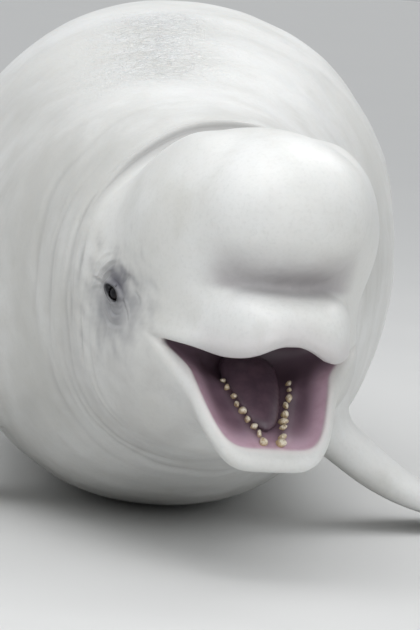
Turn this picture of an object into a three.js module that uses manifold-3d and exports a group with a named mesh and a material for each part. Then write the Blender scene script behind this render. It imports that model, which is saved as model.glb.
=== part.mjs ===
// A beluga whale at life size, lying on its belly with its mouth wide open and its head turned a little
// to its left. Millimetres, +Z up. The nose points along -Y, so the whale's left is +X.
// The origin is the middle of the flat that the belly rests on.
import * as THREE from "three";
import { mergeVertices } from "three/addons/utils/BufferGeometryUtils.js";
import Module from "manifold-3d";

const wasm = await Module();
wasm.setup();

// Driving sizes. A station is a distance back from the tip of the upper jaw, along the straight body.
const bodyLength = 3900; // tip of the upper jaw to the notch between the flukes
const restStation = 1900; // the station of the origin
const headTurn = THREE.MathUtils.degToRad(19); // to the whale's left
const gape = THREE.MathUtils.degToRad(50); // the slope of the lower lips below the upper ones
const turnPivot = 640; // the station about which the head turns
const mouthHeight = 385; // the tip of the upper lip above the floor
const partingGap = 0.3; // between two nodes that touch

// Small maths
const clamp01 = (t) => Math.min(1, Math.max(0, t));

function smoothstep(from, to, t) {
  const u = clamp01((t - from) / (to - from));
  return u * u * (3 - 2 * u);
}

// The union of two distances, rounded where they meet over a band of about the given width.
function join(a, b, width) {
  const h = Math.max(width - Math.abs(a - b), 0) / width;
  return Math.min(a, b) - (h * h * width) / 4;
}

// What of distance a lies outside distance b, with the edge rounded in the same way.
const carve = (a, b, width) => -join(-a, b, width);

// What lies inside both distances.
const within = (a, b, width) => -join(-a, -b, width);

// A smooth line through [station, value] pairs, level beyond its ends.
function line(pairs) {
  const last = pairs.length - 1;
  const slope = (i) => {
    const [from, to] = [pairs[Math.max(i - 1, 0)], pairs[Math.min(i + 1, last)]];
    return (to[1] - from[1]) / (to[0] - from[0]);
  };
  return (s) => {
    if (s <= pairs[0][0]) return pairs[0][1];
    if (s >= pairs[last][0]) return pairs[last][1];
    const i = pairs.findIndex((p) => p[0] > s) - 1;
    const [s0, v0] = pairs[i];
    const [s1, v1] = pairs[i + 1];
    const span = s1 - s0;
    const t = (s - s0) / span;
    const [t2, t3] = [t * t, t * t * t];
    return (
      (2 * t3 - 3 * t2 + 1) * v0 +
      (t3 - 2 * t2 + t) * span * slope(i) +
      (3 * t2 - 2 * t3) * v1 +
      (t3 - t2) * span * slope(i + 1)
    );
  };
}

// The distance to a rounded form, an ellipsoid or a boxier one where power is above 2. Its outline from above
// has a power of its own, plan, and narrows along it by taper. Near the surface it is close to the true one.
function form(p, { centre, radii, power, plan = power, taper = 0 }) {
  const along = (p[0] - centre[0]) / radii[0];
  const narrowing = taper * Math.max(-1.2, Math.min(1.2, along));
  const width = radii[1] * (1 + Math.min(narrowing, 0));
  const u = Math.abs(along);
  const [v, w] = [Math.abs(p[1] - centre[1]) / width, Math.abs(p[2] - centre[2]) / radii[2]];
  const r = Math.max(u ** plan + v ** plan, 1e-9) ** (1 / plan);
  const q = Math.max(r ** power + w ** power, 1e-9) ** (1 / power);
  const level = ((u / r) ** (plan - 1) / radii[0]) ** 2 + ((v / r) ** (plan - 1) / width) ** 2;
  const steep = (r / q) ** (2 * power - 2) * level + ((w / q) ** (power - 1) / radii[2]) ** 2;
  return (q - 1) / Math.sqrt(steep);
}

const bump = (t) => Math.exp(-t * t);

// The body from the neck to the end of the tail stock, as heights above the floor and half widths.
const backLine = line([
  [350, 685], [450, 713], [550, 726], [760, 758], [1000, 795], [1300, 836], [1650, 858], [2000, 838],
  [2350, 768], [2700, 640], [3050, 476], [3400, 310], [3650, 196], [3850, 106], [3920, 70],
]);
const bellyLine = line([
  [350, 180], [450, 144], [550, 108], [760, 46], [1000, 4], [1300, -16], [1650, -22], [2000, -18],
  [2350, 0], [2700, 14], [3050, 24], [3400, 28], [3650, 22], [3850, 12], [3920, 10],
]);
const flankLine = line([
  [350, 258], [450, 256], [550, 268], [760, 314], [1000, 362], [1300, 402], [1650, 416], [2000, 395],
  [2350, 341], [2700, 268], [3050, 187], [3400, 110], [3650, 64], [3850, 40], [3920, 30],
]);
const sectionPower = 2.15;
const neckFront = 398; // back from the tip of the upper jaw
const highHead = [170, 285]; // heights above the upper lip between which the neck comes to fold over the head
const neckRound = { side: 150, top: 32 };

// The spine bends to follow the turned head.
const neckBend = { start: 820, strength: 4.6e-4 };
const spineShift = (s) => neckBend.strength * Math.max(neckBend.start - s, 0) ** 2;

// The low ridge along the back, in place of a fin.
const ridge = { from: 1900, to: 2640, height: 18, halfWidth: 19, notches: 6 };
function ridgeHeight(s) {
  const rise = smoothstep(ridge.from, ridge.from + 330, s) * (1 - smoothstep(ridge.to - 260, ridge.to, s));
  const along = ((s - ridge.from) / (ridge.to - ridge.from)) * ridge.notches * Math.PI;
  return ridge.height * rise * (0.8 + 0.2 * Math.cos(2 * along));
}

function bodyField(x, s, z) {
  const [top, bottom, half] = [backLine(s), bellyLine(s), flankLine(s)];
  const middle = (top + bottom) / 2;
  const side = x - spineShift(s);
  const section = { centre: [0, 0, middle], radii: [half, 1, (top - bottom) / 2], power: sectionPower };
  const crest = z > middle ? ridgeHeight(s) * bump(side / ridge.halfWidth) : 0;
  const ended = within(form([side, 0, z], section) - crest, s - (bodyLength - 15), 20);
  const [a, , c] = toHead(x, s, z);
  const high = smoothstep(...highHead, c);
  return within(ended, neckFront - a, neckRound.side + (neckRound.top - neckRound.side) * high);
}

// Head coordinates: a back from the tip of the upper jaw, b to the whale's left, c up from the tip's lip.
const [cosTurn, sinTurn] = [Math.cos(headTurn), Math.sin(headTurn)];

function toHead(x, s, z) {
  const back = s - turnPivot;
  return [
    turnPivot - x * sinTurn + back * cosTurn,
    x * cosTurn + back * sinTurn,
    z - mouthHeight,
  ];
}

function fromHead(a, b, c) {
  const back = a - turnPivot;
  return [b * cosTurn - back * sinTurn, turnPivot + b * sinTurn + back * cosTurn, mouthHeight + c];
}

// Jaw coordinates: u along the open lower jaw from the corner of the mouth to its tip, b as in the head, and
// w square to the lower lips, into the open mouth.
const mouthCorner = { a: 203, c: -13 };
const [cosGape, sinGape] = [Math.cos(gape), Math.sin(gape)];

function toJaw([a, b, c]) {
  const [ahead, up] = [mouthCorner.a - a, c - mouthCorner.c];
  return [ahead * cosGape - up * sinGape, b, ahead * sinGape + up * cosGape];
}

function fromJaw(u, b, w) {
  const ahead = u * cosGape + w * sinGape;
  const up = -u * sinGape + w * cosGape;
  return fromHead(mouthCorner.a - ahead, b, mouthCorner.c + up);
}

// The edge of the upper lip: raised at the tip, lower to either side of it, and up again to the corner.
function upperLip(a, b) {
  return 2 - 26 * smoothstep(8, 88, Math.abs(b + 10)) + 11 * smoothstep(80, mouthCorner.a, a);
}

const neckGroove = 402; // the groove between head and neck, back from the tip of the upper jaw
const neckCrease = 430; // where the two nodes part, just behind the groove

// The forms of the head, each with its centre and its half sizes along a, b and c.
const melon = { centre: [182, 0, 202], radii: [182, 154, 127], power: 2.1 };
const cranium = { centre: [430, 0, 60], radii: [235, 230, 236], power: 2.1 };
const temple = { centre: [270, 0, 150], radii: [150, 190, 150], power: 2.05 };
const beak = { centre: [180, 0, 16], radii: [180, 148, 72], power: 3.2, plan: 5, taper: 0.42 };
const cheek = { centre: [278, 0, -45], radii: [112, 190, 116], power: 2.2 };
const throat = { centre: [400, 0, -68], radii: [215, 205, 150], power: 2.1 };

// The lower jaw and the hollow between its lips, along u, b and w, and the back and the roof of the mouth,
// along a, b and c. The hollow flares out at the corners of the mouth.
const jaw = { centre: [8, 0, -14], radii: [222, 143, 60], power: 2.4, plan: 5, taper: -0.38 };
const trough = { centre: [0, 0, 4], radii: [199, 129, 34], power: 2.1, plan: 6.5, taper: -0.36 };
const troughEnd = { back: -12, flare: 0.2 };
const gullet = { centre: [208, 0, -38], radii: [52, 84, 40], power: 2.3 };
const palate = { centre: [128, 0, -22], radii: [108, 84, 38], power: 2.2, plan: 2.6, taper: 0.3 };

// The two rows of teeth in the lower jaw run back and apart from the tip, each on a low ridge of gum.
const toothRow = { front: { u: 187, b: 13 }, back: { u: 60, b: 58 }, ridgeHeight: 8, ridgeHalfWidth: 12 };
const rowSpread = (toothRow.back.b - toothRow.front.b) / (toothRow.front.u - toothRow.back.u);
const rowOffset = (u) => toothRow.front.b + (toothRow.front.u - u) * rowSpread;

function mouthField(head, jawed) {
  const [u, b, w] = jawed;
  const opening = within(head[2] - upperLip(head[0], head[1]), -w, 6);
  const besideRow = (Math.abs(b) - rowOffset(u)) / toothRow.ridgeHalfWidth;
  const gum = toothRow.ridgeHeight * bump(besideRow) * smoothstep(20, 70, u) * smoothstep(205, 165, u);
  const flared = [u, b / (1 + troughEnd.flare * smoothstep(62, -5, u)), w];
  const between = within(form(flared, trough) + gum, troughEnd.back - u, 30);
  const hollow = join(join(form(head, gullet), between, 30), form(head, palate), 14);
  return join(opening, hollow, 10);
}

function headField(x, s, z) {
  const head = toHead(x, s, z);
  const jawed = toJaw(head);
  const [a, b, c] = head;
  const lips = 4 * bump((c - upperLip(a, b) - 15) / 13) * smoothstep(230, 120, a);
  const skull = join(form(head, cranium), form(head, temple), 60);
  const face = join(skull, form(head, beak) - lips, 70);
  const blend = 20 + 60 * smoothstep(70, 210, a) + 50 * smoothstep(60, 130, Math.abs(b));
  const upper = join(face, form(head, melon), blend);
  const lowerLips = 4 * bump((jawed[2] + 14) / 11) * smoothstep(30, 120, jawed[0]);
  const lower = join(form(jawed, jaw) - lowerLips, form(head, throat), 70);
  const flesh = join(join(upper, form(head, cheek), 60), lower, 50);
  const high = smoothstep(...highHead, c);
  const groove = (2 + 9 * high) * bump((a - neckGroove) / (20 - 4 * high));
  return carve(join(flesh, bodyField(x, s, z), 76 - 56 * high) + groove, mouthField(head, jawed), 12);
}

// Surfaces. Points are [x, station, z] until they become a solid.
const toRow = (x, s, z) => [x, s - restStation, z];

function gradient(field, p) {
  const e = 0.5;
  const [x, s, z] = p;
  return [
    (field(x + e, s, z) - field(x - e, s, z)) / (2 * e),
    (field(x, s + e, z) - field(x, s - e, z)) / (2 * e),
    (field(x, s, z + e) - field(x, s, z - e)) / (2 * e),
  ];
}

// Moves a point onto the surface where the field is zero, by steps no longer than the reach.
function settle(field, p, reach) {
  let at = p;
  for (let i = 0; i < 4; i++) {
    const g = gradient(field, at);
    const value = field(...at);
    const steep = Math.sqrt(Math.max(g[0] ** 2 + g[1] ** 2 + g[2] ** 2, 0.05));
    const step = Math.min(Math.abs(value) / steep, reach) * Math.sign(value);
    at = at.map((v, k) => v - (step * g[k]) / steep);
  }
  return at;
}

// Grid lines at the given sizes of step, through [from, to, size] stretches that follow on from one another.
function gridLines(stretches) {
  const lines = [stretches[0][0]];
  for (const [from, to, size] of stretches) {
    const steps = Math.round((to - from) / size);
    for (let i = 1; i <= steps; i++) lines.push(from + ((to - from) * i) / steps);
  }
  return lines;
}

// Where a square of the grid is inside the surface at two opposite corners only, two sheets would share an
// edge. The corner nearest to the surface changes sides there.
function clearDiagonals(values, count, at) {
  const ways = [[0, 0, 1], [0, 1, 0], [1, 0, 0]];
  for (let changed = true; changed; ) {
    changed = false;
    for (let i = 0; i < count[0] - 1; i++)
      for (let j = 0; j < count[1] - 1; j++)
        for (let k = 0; k < count[2] - 1; k++)
          for (let m = 0; m < 3; m++) {
            const [p, q] = [ways[m], ways[(m + 1) % 3]];
            const corners = [[0, 0, 0], p, p.map((v, n) => v + q[n]), q];
            const square = corners.map(([di, dj, dk]) => at(i + di, j + dj, k + dk));
            const [v0, v1, v2, v3] = square.map((index) => values[index] < 0);
            if (v0 !== v2 || v1 !== v3 || v0 === v1) continue;
            const nearer = (m, n) => (Math.abs(values[n]) < Math.abs(values[m]) ? n : m);
            const nearest = square.reduce(nearer);
            values[nearest] = values[nearest] < 0 ? 0.01 : -0.01;
            changed = true;
          }
  }
}

// The closed surface where the field is zero inside the grid lines along x, station and z, with one point in
// each cell that it crosses, as { points, triangles }.
function netSurface(field, grid) {
  const count = grid.map((lines) => lines.length);
  const at = (i, j, k) => (i * count[1] + j) * count[2] + k;
  const values = new Float32Array(count[0] * count[1] * count[2]);
  for (let i = 0; i < count[0]; i++)
    for (let j = 0; j < count[1]; j++)
      for (let k = 0; k < count[2]; k++)
        values[at(i, j, k)] = field(grid[0][i], grid[1][j], grid[2][k]);
  clearDiagonals(values, count, at);
  const corners = [0, 1, 2, 3, 4, 5, 6, 7].map((n) => [n & 1, (n >> 1) & 1, (n >> 2) & 1]);
  const edges = [];
  for (let n = 0; n < 8; n++) for (const bit of [1, 2, 4]) if (!(n & bit)) edges.push([n, n | bit]);
  const pointOf = new Map();
  const points = [];
  for (let i = 0; i < count[0] - 1; i++)
    for (let j = 0; j < count[1] - 1; j++)
      for (let k = 0; k < count[2] - 1; k++) {
        const v = corners.map(([di, dj, dk]) => values[at(i + di, j + dj, k + dk)]);
        const crossed = edges.filter(([m, n]) => v[m] < 0 !== v[n] < 0);
        if (!crossed.length) continue;
        const sum = [0, 0, 0];
        for (const [m, n] of crossed) {
          const t = v[m] / (v[m] - v[n]);
          for (let c = 0; c < 3; c++) sum[c] += corners[m][c] + t * (corners[n][c] - corners[m][c]);
        }
        const cell = [i, j, k];
        pointOf.set(at(i, j, k), points.length);
        const inCell = (total, c) => {
          const [from, to] = [grid[c][cell[c]], grid[c][cell[c] + 1]];
          return from + ((to - from) * total) / crossed.length;
        };
        points.push(sum.map(inCell));
      }
  const apart = (m, n) => points[m].reduce((sum, v, i) => sum + (v - points[n][i]) ** 2, 0);
  const triangles = [];
  for (let i = 1; i < count[0] - 1; i++)
    for (let j = 1; j < count[1] - 1; j++)
      for (let k = 1; k < count[2] - 1; k++) {
        const inside = values[at(i, j, k)] < 0;
        const around = [
          [[1, 0, 0], [at(i, j - 1, k - 1), at(i, j, k - 1), at(i, j, k), at(i, j - 1, k)]],
          [[0, 1, 0], [at(i - 1, j, k - 1), at(i - 1, j, k), at(i, j, k), at(i, j, k - 1)]],
          [[0, 0, 1], [at(i - 1, j - 1, k), at(i, j - 1, k), at(i, j, k), at(i - 1, j, k)]],
        ];
        for (const [[di, dj, dk], ring] of around) {
          if (inside === values[at(i + di, j + dj, k + dk)] < 0) continue;
          const [p, q, r, t] = ring.map((cell) => pointOf.get(cell));
          const pair = apart(p, r) <= apart(q, t) ? [[p, q, r], [p, r, t]] : [[p, q, t], [q, r, t]];
          for (const face of pair) triangles.push(inside ? face : face.reverse());
        }
      }
  return { points, triangles };
}

// Evens out the points along the surface, and then settles them on it.
function relax(surface, field, rounds, reach) {
  for (let round = 0; round < rounds; round++) {
    const sums = surface.points.map(() => [0, 0, 0, 0]);
    for (const face of surface.triangles)
      face.forEach((m, i) => {
        const next = surface.points[face[(i + 1) % 3]];
        next.forEach((v, k) => (sums[m][k] += v));
        sums[m][3] += 1;
      });
    surface.points = surface.points.map((p, m) => {
      const even = p.map((v, k) => (v + sums[m][k] / sums[m][3]) / 2);
      return settle(field, even, reach);
    });
  }
}

// Splits the edges whose middle lies off the surface by more than the tolerance, and settles the new points.
function refine(surface, field, tolerance, shortest) {
  const { points, triangles } = surface;
  const middles = new Map();
  const middleOf = (m, n) => {
    const key = m < n ? m * 1e6 + n : n * 1e6 + m;
    if (middles.has(key)) return middles.get(key);
    const half = points[m].map((v, k) => (v + points[n][k]) / 2);
    const length = Math.hypot(...points[m].map((v, k) => v - points[n][k]));
    let made = -1;
    if (length > shortest && Math.abs(field(...half)) > tolerance) {
      made = points.length;
      points.push(settle(field, half, length / 3));
    }
    middles.set(key, made);
    return made;
  };
  surface.triangles = triangles.flatMap(([p, q, r]) => {
    const [pq, qr, rp] = [middleOf(p, q), middleOf(q, r), middleOf(r, p)];
    const split = [pq, qr, rp].filter((m) => m >= 0).length;
    if (split === 0) return [[p, q, r]];
    if (split === 3) return [[p, pq, rp], [pq, q, qr], [rp, qr, r], [pq, qr, rp]];
    if (split === 2) {
      if (pq < 0) return [[r, rp, qr], [rp, p, q], [rp, q, qr]];
      if (qr < 0) return [[p, pq, rp], [pq, q, r], [pq, r, rp]];
      return [[q, qr, pq], [qr, r, p], [qr, p, pq]];
    }
    if (pq >= 0) return [[p, pq, r], [pq, q, r]];
    if (qr >= 0) return [[q, qr, p], [qr, r, p]];
    return [[r, rp, q], [rp, p, q]];
  });
}

// Solids
function solidFrom({ points, triangles }) {
  const vertProperties = new Float32Array(points.flatMap((p) => toRow(...p)));
  const triVerts = new Uint32Array(triangles.flat());
  return new wasm.Manifold(new wasm.Mesh({ numProp: 3, vertProperties, triVerts }));
}

// A three.js geometry, moved by a matrix, as a solid in the part's own frame.
function solidOf(geometry, matrix = new THREE.Matrix4()) {
  const bare = new THREE.BufferGeometry();
  bare.setAttribute("position", geometry.getAttribute("position").clone());
  if (geometry.index) bare.setIndex(geometry.index.clone());
  const merged = mergeVertices(bare.applyMatrix4(matrix), 1e-3);
  const corners = Array.from(merged.index.array);
  const whole = corners.filter((_, i) => {
    const [p, q, r] = corners.slice(i - (i % 3), i - (i % 3) + 3);
    return p !== q && q !== r && r !== p;
  });
  const vertProperties = merged.attributes.position.array;
  return new wasm.Manifold(
    new wasm.Mesh({ numProp: 3, vertProperties, triVerts: new Uint32Array(whole) }),
  );
}

// The matrix that sets a piece at a point of the part's frame, along two of its own directions.
function placed(origin, alongX, alongY) {
  const x = new THREE.Vector3(...alongX).normalize();
  const z = new THREE.Vector3().crossVectors(x, new THREE.Vector3(...alongY)).normalize();
  const y = new THREE.Vector3().crossVectors(z, x);
  return new THREE.Matrix4().makeBasis(x, y, z).setPosition(...origin);
}

// Head directions in the part's frame.
const span = (from, to) => to.map((v, k) => v - from[k]);
const headOrigin = fromHead(0, 0, 0);
const headBack = span(headOrigin, fromHead(1, 0, 0));
const headLeft = span(headOrigin, fromHead(0, 1, 0));
const headUp = span(headOrigin, fromHead(0, 0, 1));

// A closed solid through rings of points, each with as many points.
function ringSolid(rings) {
  const size = rings[0].length;
  const points = rings.flat();
  const triangles = [];
  for (let i = 0; i + 1 < rings.length; i++)
    for (let j = 0; j < size; j++) {
      const [m, n] = [i * size + j, i * size + ((j + 1) % size)];
      triangles.push([m, n, n + size], [m, n + size, m + size]);
    }
  for (const [ring, first] of [[rings[0], 0], [rings.at(-1), (rings.length - 1) * size]]) {
    const centre = [0, 1, 2].map((k) => ring.reduce((sum, p) => sum + p[k], 0) / size);
    const middle = points.push(centre) - 1;
    for (let j = 0; j < size; j++) {
      const pair = [first + j, first + ((j + 1) % size)];
      triangles.push(first === 0 ? [middle, pair[1], pair[0]] : [middle, pair[0], pair[1]]);
    }
  }
  const solid = solidFrom({ points, triangles });
  if (solid.volume() > 0) return solid;
  return solidFrom({ points, triangles: triangles.map((face) => face.reverse()) });
}

// A ring round the body where a plane cuts it, by rays from a centre. Rays are closest together at the back.
const raysPerSide = 21;
const rayCrowding = 1.35;
const farOutside = 640;
const fromTop = [];
for (let i = 0; i <= raysPerSide; i++) fromTop.push(Math.PI * (i / raysPerSide) ** rayCrowding);
const rayAngles = [...fromTop, ...fromTop.slice(1, -1).reverse().map((t) => 2 * Math.PI - t)];

function bodyRing(field, centre, left, up) {
  return rayAngles.map((angle) => {
    const way = left.map((v, k) => v * Math.sin(angle) + up[k] * Math.cos(angle));
    let [near, far] = [0, farOutside];
    while (far - near > 0.01) {
      const half = (near + far) / 2;
      if (field(...centre.map((v, k) => v + way[k] * half)) < 0) near = half;
      else far = half;
    }
    return centre.map((v, k) => v + way[k] * near);
  });
}

// The plane at each station of the neck turns from the head's to the body's. Share is 0 at the head.
function sectionAt(share, from, to) {
  const mix = (u, v) => u.map((value, k) => value + (v[k] - value) * share);
  return { centre: mix(from.centre, to.centre), left: mix(from.left, to.left), up: mix(from.up, to.up) };
}

// Cutting tools
const wide = 2000;

// Everything on one side of a plane through a point of the part's frame: the side that the normal points to.
function halfSpace(point, normal) {
  const n = new THREE.Vector3(...normal).normalize();
  const turn = new THREE.Quaternion().setFromUnitVectors(new THREE.Vector3(0, 0, 1), n);
  const middle = new THREE.Vector3(...point).addScaledVector(n, wide);
  const matrix = new THREE.Matrix4().compose(middle, turn, new THREE.Vector3(1, 1, 1));
  return solidOf(new THREE.BoxGeometry(4 * wide, 4 * wide, 2 * wide), matrix);
}

// The two halves of a solid on either side of a plane, with the parting gap between them.
function part(solid, point, normal) {
  const n = new THREE.Vector3(...normal).normalize();
  const shifted = (by) => new THREE.Vector3(...point).addScaledVector(n, by).toArray();
  const ahead = solid.intersect(halfSpace(shifted(partingGap / 2), n.toArray()));
  const behind = solid.intersect(halfSpace(shifted(-partingGap / 2), n.clone().negate().toArray()));
  return [ahead, behind];
}

// The largest closed body of a solid.
function largest(solid) {
  return solid.decompose().reduce((best, piece) => (piece.volume() > best.volume() ? piece : best));
}

// What of a solid lies clear of another one by the parting gap, as its largest body.
function clearOf(solid, other) {
  const ways = [[0, 0, 0], [1, 0, 0], [-1, 0, 0], [0, 1, 0], [0, -1, 0], [0, 0, 1], [0, 0, -1]];
  const cut = (rest, way) => rest.subtract(other.translate(way.map((v) => v * partingGap)));
  return largest(ways.reduce(cut, solid));
}

const floorUp = halfSpace([0, 0, 0], [0, 0, 1]);

// The head: a net over its flesh, made finer where it curves tightly, and cut off at the crease of the neck.
const headGrid = [
  gridLines([[-294, -182, 28], [-182, 208, 17.7], [208, 348, 28]]),
  gridLines([[-30, 300, 17.5], [300, 610, 31]]),
  gridLines([[98, 506, 17.7], [506, 766, 26]]),
];
const endedHead = (x, s, z) => Math.max(headField(x, s, z), toHead(x, s, z)[0] - neckCrease - 60);
const headSurface = netSurface(endedHead, headGrid);
relax(headSurface, endedHead, 1, 5);
refine(headSurface, endedHead, 2, 13);
relax(headSurface, endedHead, 1, 3);
const creasePoint = toRow(...fromHead(neckCrease, 0, 0));
const [, headAndJaw] = part(solidFrom(headSurface), creasePoint, headBack);

// The lower jaw: what lies ahead of a plane from the corner of the mouth down to the throat, and below the
// upper lips.
const jawCut = { ahead: 21, above: 6, lean: THREE.MathUtils.degToRad(32) };
const jawUp = span(fromJaw(0, 0, 0), fromJaw(0, 0, 1));
const jawCutPoint = toRow(...fromJaw(jawCut.ahead, 0, 0));
const jawCutNormal = span(headOrigin, fromHead(-Math.cos(jawCut.lean), 0, -Math.sin(jawCut.lean)));
const lipCutPoint = toRow(...fromJaw(0, 0, jawCut.above));
function jawRegion(inset) {
  const shifted = (point, way) => point.map((v, k) => v + way[k] * inset);
  const down = jawUp.map((v) => -v);
  return halfSpace(shifted(jawCutPoint, jawCutNormal), jawCutNormal)
    .intersect(halfSpace(shifted(lipCutPoint, down), down));
}
const bareHead = largest(headAndJaw.subtract(jawRegion(-partingGap / 2)));
const bareJaw = largest(headAndJaw.intersect(jawRegion(partingGap / 2)));

// Eyes, set in lids
const eye = { a: 320, c: 44, radius: 17, depth: 14 };
const lid = { depth: 6, length: 23, height: 14, thickness: 6.5 };
let eyeSide = 120; // how far out the skin is at the eye
while (headField(...fromHead(eye.a, eyeSide, eye.c)) < 0) eyeSide += 0.5;
function eyeMatrix(side, depth) {
  const point = fromHead(eye.a, side * eyeSide, eye.c);
  const outward = new THREE.Vector3(...gradient(headField, point)).normalize();
  const origin = new THREE.Vector3(...toRow(...point)).addScaledVector(outward, -depth);
  const upward = outward.cross(new THREE.Vector3(...headBack));
  return placed(origin.toArray(), headBack, upward.toArray());
}
const ball = (radius) => new THREE.SphereGeometry(radius, 16, 10);
const eyeball = (side) => solidOf(ball(eye.radius), eyeMatrix(side, eye.depth));
const socket = (side) => solidOf(ball(eye.radius + partingGap), eyeMatrix(side, eye.depth));
function lids(side) {
  const ring = new THREE.TorusGeometry(lid.length - lid.thickness, lid.thickness, 7, 18);
  const flat = new THREE.Matrix4().makeScale(1, lid.height / lid.length, 1);
  return solidOf(ring, eyeMatrix(side, lid.depth).multiply(flat));
}

// The blowhole: a crescent cut, open to the front
const blowhole = { a: 372, width: 66, sweep: 0.95, opening: 6, depth: 26 };
const blowholeRadius = blowhole.width / 2 / Math.sin(blowhole.sweep);
const crescent = new THREE.Shape();
crescent.absarc(0, 0, blowholeRadius, -blowhole.sweep, blowhole.sweep, false);
crescent.absarc(-blowhole.opening, 0, blowholeRadius, blowhole.sweep, -blowhole.sweep, true);
const slit = new THREE.ExtrudeGeometry(crescent, { depth: 90, bevelEnabled: false, curveSegments: 8 });
let crownHeight = 0;
for (let c = 200; c < 400; c += 1) if (headField(...fromHead(blowhole.a, 0, c)) < 0) crownHeight = c;
const slitBase = toRow(...fromHead(blowhole.a - blowholeRadius, 0, crownHeight - blowhole.depth));
const slitSolid = solidOf(slit, placed(slitBase, headBack, headLeft.map((v) => -v)));

const head = largest(
  [1, -1].reduce((solid, side) => solid.add(lids(side)).subtract(socket(side)), bareHead).subtract(slitSolid),
);

// Teeth
const tooth = { count: 9, radius: 6, root: 9, height: 10 };
const toothProfile = [
  [0, -tooth.root], [tooth.radius, -tooth.root], [tooth.radius * 0.92, tooth.height * 0.5],
  [tooth.radius * 0.5, tooth.height * 0.94], [0, tooth.height],
].map(([r, h]) => new THREE.Vector2(r, h));
const toothShape = new THREE.LatheGeometry(toothProfile, 6).rotateX(Math.PI / 2);
const jawAhead = span(fromJaw(0, 0, 0), fromJaw(1, 0, 0));

function gumHeight(u, b) {
  let w = 0;
  while (mouthField(toHead(...fromJaw(u, b, w)), [u, b, w]) < 0 && w > -80) w -= 0.5;
  return w;
}

let toothedJaw = bareJaw;
for (const side of [1, -1])
  for (let i = 0; i < tooth.count; i++) {
    const share = i / (tooth.count - 1);
    const u = toothRow.front.u + (toothRow.back.u - toothRow.front.u) * share;
    const b = side * rowOffset(u);
    const size = 1 - 0.3 * share;
    const origin = toRow(...fromJaw(u, b, gumHeight(u, b)));
    const matrix = placed(origin, jawAhead, headLeft).scale(new THREE.Vector3(size, size, size));
    toothedJaw = toothedJaw.add(solidOf(toothShape, matrix));
  }
const lowerJaw = largest(toothedJaw);

// The tongue lies between the teeth, clear of the floor of the mouth. Rows of a, c, half width, half height.
const tonguePlan = [
  [108, -141, 4, 3], [114, -136, 15, 8], [130, -124, 26, 13], [158, -103, 37, 17], [190, -80, 45, 20],
  [218, -60, 47, 20], [238, -48, 40, 15], [250, -42, 24, 9], [255, -40, 5, 3],
];
const tongueSide = -4; // it lies a little to the whale's right
const tongueRise = THREE.MathUtils.degToRad(36);
const tongueRing = 16;
const tongueShape = ringSolid(
  tonguePlan.map(([a, c, half, thick]) => {
    const ring = [];
    for (let i = 0; i < tongueRing; i++) {
      const angle = (2 * Math.PI * i) / tongueRing;
      const rise = Math.sin(angle) * thick;
      const out = tongueSide + half * Math.cos(angle);
      ring.push(fromHead(a - rise * Math.sin(tongueRise), out, c + rise * Math.cos(tongueRise)));
    }
    return ring;
  }),
);
const tongueSolid = clearOf(clearOf(tongueShape, lowerJaw), head);

// The neck and the trunk, ring by ring
const neckEnd = 800;
const creaseSection = { centre: fromHead(neckCrease + partingGap / 2, 0, 60), left: headLeft, up: headUp };
const shoulderSection = { centre: [0, neckEnd, 415], left: [1, 0, 0], up: [0, 0, 1] };
const neckRings = [];
const neckSteps = 6;
for (let i = 0; i <= neckSteps; i++) {
  const { centre, left, up } = sectionAt(i / neckSteps, creaseSection, shoulderSection);
  neckRings.push(bodyRing(headField, centre, left, up));
}

function trunkSolid(from, to, steps) {
  const rings = [];
  for (let i = 0; i <= steps; i++) {
    const s = from + ((to - from) * i) / steps;
    const centre = [spineShift(s), s, (backLine(s) + bellyLine(s)) / 2];
    rings.push(bodyRing(bodyField, centre, [1, 0, 0], [0, 0, 1]));
  }
  return ringSolid(rings);
}
const gap = partingGap / 2;
const chestEnd = 1480;
const trunkEnd = 2660;
const tailEnd = bodyLength - 20;
const neck = ringSolid(neckRings).intersect(floorUp);
const chest = trunkSolid(neckEnd + gap * 2, chestEnd - gap, 8).intersect(floorUp);
const trunk = trunkSolid(chestEnd + gap, trunkEnd - gap, 16).intersect(floorUp);

// The flukes, as rings across the span. The last column is how thick they are.
const flukePlan = [
  [0, 3590, 3896, 60], [50, 3612, 3925, 54], [105, 3645, 3958, 46], [165, 3682, 3982, 39],
  [230, 3724, 3990, 32], [300, 3770, 3980, 26], [370, 3818, 3956, 20], [425, 3858, 3932, 14],
  [458, 3886, 3918, 9], [472, 3900, 3909, 4],
];
const flukeRing = 20;
const flukeCut = 58; // from the midline, where the flukes part from the tail stock, clear of its sides
function flukeForm(side) {
  const rings = flukePlan.map(([x, front, back, thick]) => {
    const ring = [];
    for (let i = 0; i < flukeRing; i++) {
      const angle = (side * 2 * Math.PI * i) / flukeRing;
      const along = Math.cos(angle);
      const fullness = 1 - 0.35 * along; // thickest ahead of the middle
      const rise = Math.sin(angle) * fullness * 0.5 * thick;
      ring.push([side * x, (front + back) / 2 + (along * (back - front)) / 2, 0.42 * thick + rise]);
    }
    return ring;
  });
  return ringSolid(rings).intersect(floorUp);
}
const sideways = (side) => [side, 0, 0];
const flukeForms = [1, -1].map(flukeForm);
const stockForm = trunkSolid(trunkEnd + gap, tailEnd, 13).intersect(floorUp);
const rootCut = (side, at) => halfSpace([side * at, 0, 0], sideways(side));
const flukeRoots = [1, -1].map((side, i) => flukeForms[i].subtract(rootCut(side, flukeCut - gap)));
const tailStock = largest(stockForm.add(flukeRoots[0]).add(flukeRoots[1]));
const flukes = [1, -1].map((side, i) => flukeForms[i].intersect(rootCut(side, flukeCut + gap)));

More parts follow.
